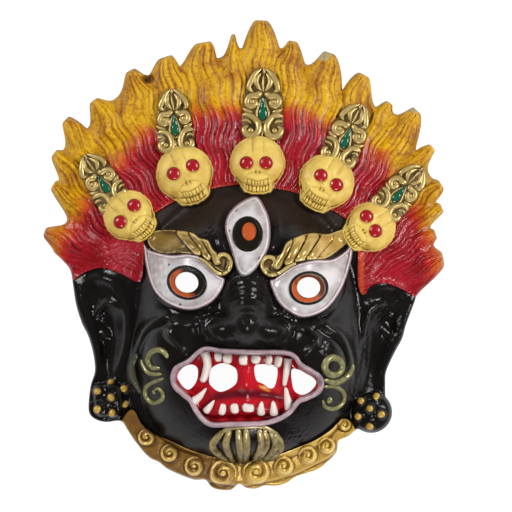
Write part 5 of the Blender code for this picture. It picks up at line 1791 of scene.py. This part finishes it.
def measure(name, description, metres, highest):
    return bpy.props.FloatProperty(name=name, description=description, default=metres, min=0.0, max=highest,
                                   unit="LENGTH", subtype="DISTANCE", precision=5)


class MaskSizes(bpy.types.PropertyGroup):
    """Sizes of the relief that is carved on the mask's own forms."""

    strand_depth: measure("Strand depth", "How deep the grooves between flame strands are", 0.0012, 0.003)
    fold_depth: measure("Fold depth", "How high the broad folds of the flames rise", 0.0010, 0.004)
    crown_spacing: measure("Crown detail", "Distance between carved points across the flames", 0.00047, 0.003)
    face_spacing: measure("Face detail", "Distance between carved points on the face", 0.00072, 0.004)
    fine_spacing: measure("Fine detail", "Distance between carved points on small features", 0.00036, 0.002)
    camera_distance: measure("Camera distance", "How high the camera stands above the mask", 5.0, 20.0)


class MaskColours(bpy.types.PropertyGroup):
    """The paints of the mask and of the stage."""

    crimson: pigment("Crimson", "Flames next to the face", 168, 26, 42)
    scarlet: pigment("Scarlet", "Flames where the crimson turns to orange", 196, 50, 40)
    orange: pigment("Orange", "Middle of the flames", 212, 112, 30)
    yellow: pigment("Yellow", "Tips of the flames", 228, 178, 18)
    # Painted shade between the strands and tongues
    groove: pigment("Flame grooves", "What darkens the paint between strands", 140, 76, 40)
    mottle: pigment("Flame mottling", "What darkens patches of the flames", 198, 158, 104)
    rim: pigment("Crown rim", "Thin rim where the crown meets the forehead", 190, 60, 48)
    lock: pigment("Temple lock", "The lock that hangs beside the right eye", 190, 75, 40)
    undercoat: pigment("Undercoat", "Bare places at the flames' tips", 178, 162, 112)
    # Also painted shadow in the chip at the crown's top left
    scorch: pigment("Dark edge", "Brown edge where the casting shows", 92, 56, 30)
    black: pigment("Black enamel", "Face and ears", 21, 18, 17)
    brown: pigment("Thin enamel", "Where the black paint is thin", 38, 26, 21)
    skull: pigment("Skull yellow", "Skulls of the diadem", 240, 210, 110)
    skull_shade: pigment("Skull shade", "Darker patches on the skulls", 205, 165, 72)
    # Painted shade at the skulls' edges and on their left sides
    skull_shadow: pigment("Skull shadow", "Dull patches at the skulls' sides", 172, 130, 56)
    # Partly a wash in the teeth and nostrils, partly painted shade round the rims and eye sockets
    skull_stain: pigment("Skull wash", "Wash in the skulls' teeth and hollows", 108, 84, 32)
    ruby: pigment("Ruby", "Eyes of the skulls", 142, 8, 20)
    gold: pigment("Antique gold", "Crests and brows", 160, 130, 66)
    gold_shade: pigment("Gold shade", "Darker patches of the gold", 126, 98, 46)
    # Partly patina in the low places, partly painted shade
    gold_recess: pigment("Gold recess", "Low places of the gold", 48, 36, 18)
    # Partly wear on the high places, partly painted highlight
    gold_bright: pigment("Bright gold", "Rubbed high places of the gold", 236, 212, 140)
    brow_gilt: pigment("Bright brow", "The right brow, which is better lit and less worn", 214, 178, 102)
    brow_flat: pigment("Dull gold", "Flat outer parts of the brows", 86, 64, 34)
    emerald: pigment("Emerald", "Gems of the crests", 6, 68, 46)
    eye_white: pigment("Eye white", "Whites of the eyes", 226, 221, 221)
    # Painted shade on the whites, near their edges and towards the left eye's outer corner
    eye_shade: pigment("Eye shade", "Grey wash on the whites", 156, 147, 142)
    eye_rim: pigment("Eye rim", "Pink rims of the eyes", 196, 152, 164)
    iris: pigment("Iris black", "Dark rings of the irises", 30, 26, 18)
    orange_ring: pigment("Iris orange", "Orange of the irises and the third pupil", 192, 86, 42)
    # Brown patches on the orange, and painted shade on one side of the irises
    burnt_ring: pigment("Burnt orange", "Darker parts of the orange rings", 112, 62, 30)
    mouth: pigment("Mouth red", "Gums and tongue", 200, 22, 38)
    mouth_dark: pigment("Mouth shade", "Deep places of the mouth", 104, 8, 24)
    mouth_spot: pigment("Mouth spot", "A touch of yellow on the tongue's edge", 226, 140, 40)
    tooth: pigment("Tooth ivory", "Teeth and fangs", 226, 210, 200)
    lip: pigment("Lip pink", "Lips", 188, 154, 162)
    # Random worn patches of the lips, and the painted shade on the upper lip
    lip_grey: pigment("Lip grey", "Worn places of the lips", 122, 106, 112)
    curl: pigment("Curl gold", "Curls on the cheeks", 118, 112, 64)
    beard: pigment("Beard gold", "Strands of the beard", 138, 116, 60)
    bronze: pigment("Collar bronze", "Left half of the collar", 164, 120, 52)
    collar: pigment("Collar gold", "Right half of the collar", 206, 164, 70)
    stud: pigment("Stud gold", "Studs of the ears", 196, 152, 50)
    floor: pigment("Floor", "Pale glow of the floor under the mask", 251, 251, 251)


# The stage and the pieces, one operator each

# The floor lies just under the mask, and reflects only a share of its glow's colour
FLOOR_HALF_WIDTH = 3.0
FLOOR_DROP = 0.0004
FLOOR_SHARE = 0.2
WORLD_STRENGTH = 0.12
# Where the lamps point, and where the camera is sharpest
FOCUS_HEIGHT = 0.03
# Lamps: name, place, width, height and power
LAMPS = (
    ("right window", (1.01, 0.28, 0.80), 0.55, 0.10, 12.5),
    ("left window", (-1.00, 0.55, 0.93), 0.55, 0.10, 12.0),
    ("lamp", (0.15, -0.95, 0.85), 0.20, 0.12, 5.0),
)
# The picture's sides in grid squares, and the width of the camera's film in millimetres
PICTURE_SIDE = 512
FILM_WIDTH = 36.0


def add_lamp(name, place, width, height, power):
    light = bpy.data.lights.new(name, "AREA")
    light.shape = "RECTANGLE"
    light.size = width
    light.size_y = height
    light.energy = power
    lamp = add_object(name, light)
    lamp.location = place
    aim = Vector((0.0, 0.0, FOCUS_HEIGHT)) - Vector(place)
    lamp.rotation_euler = aim.to_track_quat("-Z", "Y").to_euler()


class MASK_OT_stage(bpy.types.Operator):
    """Lays the floor, and sets the lights and the camera above it."""

    bl_idname = "mask.stage"
    bl_label = "Stage"

    def execute(self, context):
        scene = context.scene
        scene.view_settings.view_transform = "Standard"
        scene.view_settings.look = "None"
        half, low = FLOOR_HALF_WIDTH, -FLOOR_DROP
        corners = [(-half, -half, low), (half, -half, low), (half, half, low), (-half, half, low)]
        floor = bpy.data.meshes.new("floor")
        floor.from_pydata(corners, [], [(0, 1, 2, 3)])
        material, shader = new_material("pale floor")
        glow = shade("floor")
        shader["Base Color"].default_value = (*(FLOOR_SHARE * share for share in glow[:3]), 1.0)
        shader["Roughness"].default_value = 0.9
        shader["Emission Color"].default_value = glow
        shader["Emission Strength"].default_value = 1.0
        floor.materials.append(material)
        add_object("floor", floor)
        world = bpy.data.worlds.new("studio")
        world.use_nodes = True
        sky = world.node_tree.nodes["Background"].inputs
        sky["Color"].default_value = (1.0, 1.0, 1.0, 1.0)
        sky["Strength"].default_value = WORLD_STRENGTH
        scene.world = world
        for lamp in LAMPS:
            add_lamp(*lamp)
        camera = bpy.data.cameras.new("camera")
        distance = scene.mask_sizes.camera_distance
        camera.lens = FILM_WIDTH * (distance - FOCUS_HEIGHT) / (PICTURE_SIDE * GRID)
        camera.clip_end = 50.0
        view = add_object("camera", camera)
        aim = in_metres([(PICTURE_SIDE / 2, PICTURE_SIDE / 2)], np.zeros(1))[0]
        view.location = (aim[0], aim[1], distance)
        view.rotation_euler = (0.0, 0.0, LEAN)
        scene.camera = view
        return {"FINISHED"}


class MASK_OT_crown(bpy.types.Operator):
    """Carves the crown of flames, with its hollow behind."""

    bl_idname = "mask.crown"
    bl_label = "Flame crown"

    def execute(self, context):
        step = context.scene.mask_sizes.crown_spacing / GRID
        flames = painted("flame paint", flame_colour, roughness=0.18, brush=80.0, depth=0.00032, speckle=1.3,
                         satin="satin", shine=0.3)
        shell_piece("flame_crown", shell_loops()[0], [], fan_lattice(step, 1.7 * step), step, crown_lift,
                    flames, span=0.0012)
        return {"FINISHED"}


class MASK_OT_face(bpy.types.Operator):
    """Carves the black face and ears, with the openings and the hollow behind."""

    bl_idname = "mask.face"
    bl_label = "Face and ears"

    def execute(self, context):
        step = context.scene.mask_sizes.face_spacing / GRID
        face = shell_loops()[1]
        enamel = painted("black enamel", "black", (26, 23, 22), (11, 10, 9), (34, 31, 29), 0.12, brush=120.0,
                         tint=0.6, depth=0.00018, speckle=0.9, layers=(("thin", "brown", 1.0),), satin="thin",
                         shine=0.22)
        shell_piece("face_shell", face, openings(), lattice(face, step), step, face_lift, enamel,
                    span=0.0016)
        return {"FINISHED"}


class MASK_OT_collar(bpy.types.Operator):
    """Carves the collar with its scrolls, and its hollow behind."""

    bl_idname = "mask.collar"
    bl_label = "Scrolled collar"

    def execute(self, context):
        step = 1.4 * context.scene.mask_sizes.fine_spacing / GRID
        collar = shell_loops()[2]
        cast = painted("collar gold", "bronze", (120, 82, 34), (84, 54, 20), (236, 202, 112), metallic=0.3,
                       brush=150.0, tint=0.9, depth=0.0003, layers=(("bright", "collar", 1.0),),
                       settled_and_shade_share=0.7)
        shell_piece("collar", collar, [], lattice(collar, step), step, collar_lift, cast,
                    span=0.0014)
        return {"FINISHED"}


class MASK_OT_skulls(bpy.types.Operator):
    """Carves the five skulls of the diadem and sets their red eyes."""

    bl_idname = "mask.skulls"
    bl_label = "Skulls"

    def execute(self, context):
        step = context.scene.mask_sizes.fine_spacing / GRID
        wide = SKULL_EYE_RADIUS * GRID
        parts, eyes = [], []
        for skull in SKULLS:
            loop = skull_outline(*skull[:3])
            parts.append(carved_patch(loop, step, skull_lift, skull, span=0.0014, rounds=8))
            for place in skull[3]:
                height = height_at(*place, skull_height, skull) - SKULL_EYE_SINK
                eyes.append((*place, height, (1.3 * wide, 1.3 * wide, wide), 0.0))
        bone = painted("skull yellow", "skull", "skull_shade", "skull_stain", (240, 214, 128), 0.42,
                       brush=80.0, tint=0.8, depth=0.0002, settled_and_shade_share=0.55, rubbed_and_lit_share=0.5, shine=0.35,
                       layers=(("shadow", "skull_shadow", 0.7), ("stain", "skull_stain", 1.0)))
        add_mesh("skulls", parts, bone)
        # The ruby's last two colours are painted shade on the eyes' sides and painted highlight on their
        # tops.
        ruby = painted("skull eye red", "ruby", (116, 5, 14), (84, 3, 10), (166, 14, 26), 0.24, brush=90.0,
                       depth=0.00008, shine=0.6)
        studs("skull_eyes", eyes, ruby, unevenness=0.0001, detail=4)
        return {"FINISHED"}


class MASK_OT_crests(bpy.types.Operator):
    """Carves the leaf crests above the skulls, with their scrollwork and gems."""

    bl_idname = "mask.crests"
    bl_label = "Leaf crests"

    def execute(self, context):
        parts, lines, gems, buttons = [], [], [], []
        sides, middle = crest_strokes()
        (gem_across, gem_along), (half_width, half_height) = CREST_GEM
        for crest in CRESTS:
            centre, turn, length = crest
            parts.append(carved_patch(crest_outline(*crest), CREST_SPACING, crest_lift))
            strokes = [(line * (side, 1), widths) for side in (-1, 1) for line, widths in sides]
            for line, widths in (*strokes, *middle):
                path = placed(*(line * length).T, centre, turn)
                path = path + np.column_stack([waver(*path.T, CREST_WANDER, seed) for seed in (11, 12)])
                lines.append(laid(path, widths * length, CREST_RISE + STROKE_LIFT))
            for share, size in GEM_KNOBS:
                along = gem_along + share * half_height
                place = placed(gem_across * length, along * length, centre, turn)[0]
                wide, tall = 1.3 * size * half_width * length * GRID, 0.8 * half_height * length * GRID
                height = height_at(*place) + CREST_RISE + STROKE_LIFT
                gems.append((*place, height, (wide, tall, GEM_RISE), turn))
            for across, along, size in CREST_BUTTONS:
                wide = 1.25 * size * length * GRID
                for side in (-1, 1):
                    place = placed(side * across * length, along * length, centre, turn)[0]
                    height = height_at(*place) + CREST_RISE + BUTTON_LIFT
                    buttons.append((*place, height, (wide, wide, 0.8 * wide), 0.0))
        antique = gold("antique gold", rubbed_and_lit_share=0.4)
        add_mesh("crest_leaves", parts, gold("crest ground", (66, 50, 26), "gold_shade"))
        strands("crest_scrolls", lines, antique, 0.85, unevenness=0.0006)
        studs("crest_buttons", buttons, antique, unevenness=0.0003)
        # The gem's last two colours are painted shade on its sides and painted highlight on its top.
        emerald = painted("gem green", "emerald", (5, 48, 36), (3, 28, 20), (14, 92, 64), 0.14, brush=90.0,
                          depth=0.00006, shine=0.7)
        studs("gems", gems, emerald, unevenness=0.0001)
        return {"FINISHED"}


class MASK_OT_eyes(bpy.types.Operator):
    """Lays the whites of the three eyes, their irises and the third eye's pupil."""

    bl_idname = "mask.eyes"
    bl_label = "Eyes"

    def execute(self, context):
        step = context.scene.mask_sizes.fine_spacing / GRID
        holes = [ellipse(centre, (radii[0] + 0.6, radii[1] + 0.6), turn) for centre, radii, turn in PUPILS]
        whites, rings = [], []
        eyes = ((LEFT_EYE, holes[:1], False), (RIGHT_EYE, holes[1:], False), (THIRD_EYE, [], True))
        for outline, hole, third in eyes:
            loop = smooth_path(outline, closed=True)
            whites.append(carved_patch(loop, 1.15 * step, eye_lift, (third,), hole, coarse=4.0))
        for index, iris in enumerate(IRISES):
            third = index == 2
            hole = [] if third else [drawn_in(ellipse(*PUPILS[index]), 0.4)]
            rings.append(carved_patch(ellipse(*iris[:3]), step, iris_lift, (*iris, third), hole, coarse=3.0))
        rings.append(carved_patch(ellipse(*THIRD_PUPIL), step, pupil_lift, coarse=3.0))
        # The first wash is painted shade on the whites.
        washes = (("dusk", "eye_shade", 0.8), ("rim", "eye_rim", 0.9), ("specks", (38, 33, 30), 1.0))
        white = painted("eye white", "eye_white", (214, 210, 212), (150, 138, 140), (236, 232, 232), 0.24,
                        brush=50.0, tint=0.6, depth=0.00014, chips=(0.16, (40, 34, 32)), settled_and_shade_share=0.5,
                        layers=washes)
        dark = painted("iris paint", "iris", (12, 11, 9), (8, 7, 6), (60, 56, 48), brush=80.0, depth=0.0002,
                       shine=0.15, layers=(("orange", "orange_ring", 1.0), ("burnt", "burnt_ring", 1.0)),
                       settled_and_shade_share=0.4, rubbed_and_lit_share=0.0)
        add_mesh("eye_whites", whites, white)
        add_mesh("irises", rings, dark)
        return {"FINISHED"}


class MASK_OT_brows(bpy.types.Operator):
    """Carves the two leaf brows and lays the curl at each one's inner end."""

    bl_idname = "mask.brows"
    bl_label = "Leaf brows"

    def execute(self, context):
        step = context.scene.mask_sizes.fine_spacing / GRID
        parts = [
            carved_patch(smooth_path(outline, closed=True), step, brow_lift, (lobes,), rounds=16)
            for outline, lobes in ((LEFT_BROW, LEFT_BROW_LOBES), (RIGHT_BROW, RIGHT_BROW_LOBES))
        ]
        leaf_gold = gold("brow gold", roughness=0.2, satin="flat",
                         layers=(("flat", "brow_flat", 0.85), ("gilt", "brow_gilt", 0.75)))
        add_mesh("brows", parts, leaf_gold)
        curls = []
        for curl in BROW_CURLS:
            path = smooth_path(curl, spacing=0.8)
            curls.append(laid(path, BROW_CURL_HALF_WIDTH * np.linspace(0.7, 1.0, len(path)), LINE_LIFT))
        strands("brow_curls", curls, leaf_gold, 0.9)
        return {"FINISHED"}


class MASK_OT_mouth(bpy.types.Operator):
    """Carves the red gums and tongue, and lays the lips round them."""

    bl_idname = "mask.mouth"
    bl_label = "Mouth and lips"

    def execute(self, context):
        outline = smooth_path(MOUTH, closed=True)
        holes = [drawn_in(hole, 0.5) for hole in openings()[len(PUPILS):]]
        red = painted("mouth red", "mouth", (176, 12, 28), "mouth_dark", (212, 40, 50), 0.18, brush=80.0,
                      depth=0.0002, layers=(("deep", "mouth_dark", 1.0), ("spot", "mouth_spot", 1.0)),
                      settled_and_shade_share=0.6, rubbed_and_lit_share=0.4)
        lining = carved_patch(outline, MOUTH_SPACING, gum_lift, (), holes, sink=0.0026, coarse=4.0)
        add_mesh("mouth_inside", [lining], red)
        inner = drawn_in(outline, 2.0)
        widths = LIP_HALF_WIDTH * (1.0 + 0.10 * waver(*inner.T, 20.0, 2))
        pink = painted("lip paint", "lip", "lip_grey", (92, 76, 82), (206, 174, 182), 0.26, brush=200.0,
                       tint=1.0, depth=0.0002, breakup=1.2, over=greyer_above, settled_and_shade_share=0.9,
                       rubbed_and_lit_share=0.4)
        strands("lips", [laid(inner, widths, LINE_LIFT, closed=True)], pink, 1.0, sides=16,
                unevenness=0.0004, seed=3.0)
        return {"FINISHED"}


class MASK_OT_teeth(bpy.types.Operator):
    """Sets the fangs and the blunt teeth in the gums."""

    bl_idname = "mask.teeth"
    bl_label = "Teeth"

    def execute(self, context):
        ivory = painted("tooth ivory", "tooth", (222, 202, 190), (150, 96, 92), (236, 224, 216), 0.2,
                        tint=0.6, depth=0.0001, settled_and_shade_share=0.8)
        fangs = []
        for line, root, tip in FANGS:
            path = smooth_path(line)
            widths = root + (tip - root) * np.linspace(0.0, 1.0, len(path)) ** 1.3
            widths[-2:] *= (0.8, 0.4)
            height = gum_height(*path.T)
            height = np.maximum(height, np.linspace(height[0], height[-1], len(path))) + FANG_LIFT
            fangs.append((path, height, widths, False))
        strands("fangs", fangs, ivory, 0.85, sides=16, unevenness=0.0003)
        blunt = []
        for place, width, length, turn in BLUNT_TEETH:
            size = (0.62 * width * GRID, 0.57 * length * GRID, BLUNT_TOOTH_RISE)
            blunt.append((*place, height_at(*place, gum_height) + BLUNT_TOOTH_LIFT, size, turn))
        studs("blunt_teeth", blunt, ivory, squareness=0.2, unevenness=0.0018)
        return {"FINISHED"}


class MASK_OT_curls(bpy.types.Operator):
    """Lays the gilt curls on the cheeks."""

    bl_idname = "mask.curls"
    bl_label = "Cheek curls"

    def execute(self, context):
        olive = painted("curl gold", "curl", (104, 98, 56), (34, 30, 20), (190, 186, 132), metallic=0.25,
                        brush=130.0, tint=0.9, breakup=0.9, rubbed_and_lit_share=0.45)
        worn = painted("worn curl", (70, 70, 52), (40, 40, 32), (20, 19, 16), (112, 112, 84), metallic=0.1,
                       brush=130.0, tint=1.0, breakup=0.9, rubbed_and_lit_share=0.4)
        lines = []
        for line, half_width in (*LEFT_CURLS, *RIGHT_CURLS, WORN_CURL):
            path = smooth_path(line)
            lines.append(laid(path, half_width * swelling(path, 0.7, 0.4), CURL_LIFT))
        strands("worn_curl", [lines.pop()], worn, 0.7, unevenness=0.0003)
        centre, radius, half_width = RIGHT_RING
        lines.append(laid(ellipse(centre, (radius, radius)), half_width, CURL_LIFT, closed=True))
        strands("cheek_curls", lines, olive, 0.8, unevenness=0.0003)
        blobs = []
        for place, size in CURL_BLOBS:
            blobs.append((*place, height_at(*place) + BLOB_LIFT, (size * GRID, size * GRID, BLOB_RISE), 0.0))
        studs("curl_blobs", blobs, olive, unevenness=0.0004)
        return {"FINISHED"}


class MASK_OT_beard(bpy.types.Operator):
    """Lays the strands of the beard on the chin."""

    bl_idname = "mask.beard"
    bl_label = "Beard"

    def execute(self, context):
        strand_gold = painted("beard gold", "beard", (98, 80, 40), (30, 24, 14), (240, 220, 164), 0.24,
                              metallic=0.3, brush=130.0, tint=0.9, breakup=0.8, rubbed_and_lit_share=0.5)
        lines = []
        for line, half_width in BEARD:
            path = smooth_path(line)
            lines.append(laid(path, half_width * swelling(path, 0.6, 0.6, 0.7), BEARD_LIFT))
        line, half_width = BEARD_ROOT
        path = smooth_path(line)
        lines.append((path, base_height(*path.T) + BEARD_ROOT_LIFT, half_width, False))
        strands("beard_strands", lines, strand_gold, 0.9, unevenness=0.0005, seed=5.0)
        return {"FINISHED"}


class MASK_OT_studs(bpy.types.Operator):
    """Sets the gilt studs on the ear lobes."""

    bl_idname = "mask.studs"
    bl_label = "Ear studs"

    def execute(self, context):
        gilt = painted("stud gold", "stud", (150, 118, 46), (70, 52, 20), (226, 190, 96), metallic=0.15,
                       brush=160.0, tint=0.9, breakup=0.8, rubbed_and_lit_share=0.5)
        places = []
        for index, place in enumerate(STUDS):
            size = STUD_RADIUS * (1.0 + 0.12 * (scatter(index, 3) - 0.5)) * GRID
            turn = 360.0 * scatter(index, 5)
            places.append((*place, height_at(*place) + STUD_BED, (1.2 * size, 1.1 * size, STUD_RISE), turn))
        studs("ear_studs", places, gilt, unevenness=0.0009, seed=2.0)
        return {"FINISHED"}


OPERATORS = (
    MASK_OT_stage, MASK_OT_crown, MASK_OT_face, MASK_OT_collar, MASK_OT_skulls, MASK_OT_crests, MASK_OT_eyes,
    MASK_OT_brows, MASK_OT_mouth, MASK_OT_teeth, MASK_OT_curls, MASK_OT_beard, MASK_OT_studs,
)


class MASK_PT_pieces(bpy.types.Panel):
    """Lists the steps that build the mask."""

    bl_idname = "MASK_PT_pieces"
    bl_label = "Guardian mask"
    bl_space_type = "VIEW_3D"
    bl_region_type = "UI"
    bl_category = "Mask"

    def draw(self, context):
        for operator in OPERATORS:
            self.layout.operator(operator.bl_idname)


CLASSES = (MaskSizes, MaskColours, *OPERATORS, MASK_PT_pieces)


def register():
    for kind in CLASSES:
        bpy.utils.register_class(kind)
    bpy.types.Scene.mask_sizes = bpy.props.PointerProperty(type=MaskSizes)
    bpy.types.Scene.mask_colours = bpy.props.PointerProperty(type=MaskColours)


def unregister():
    del bpy.types.Scene.mask_colours
    del bpy.types.Scene.mask_sizes
    for kind in reversed(CLASSES):
        bpy.utils.unregister_class(kind)


def main():
    register()
    for operator in OPERATORS:
        category, action = operator.bl_idname.split(".")
        getattr(getattr(bpy.ops, category), action)()


if __name__ == "__main__":
    main()
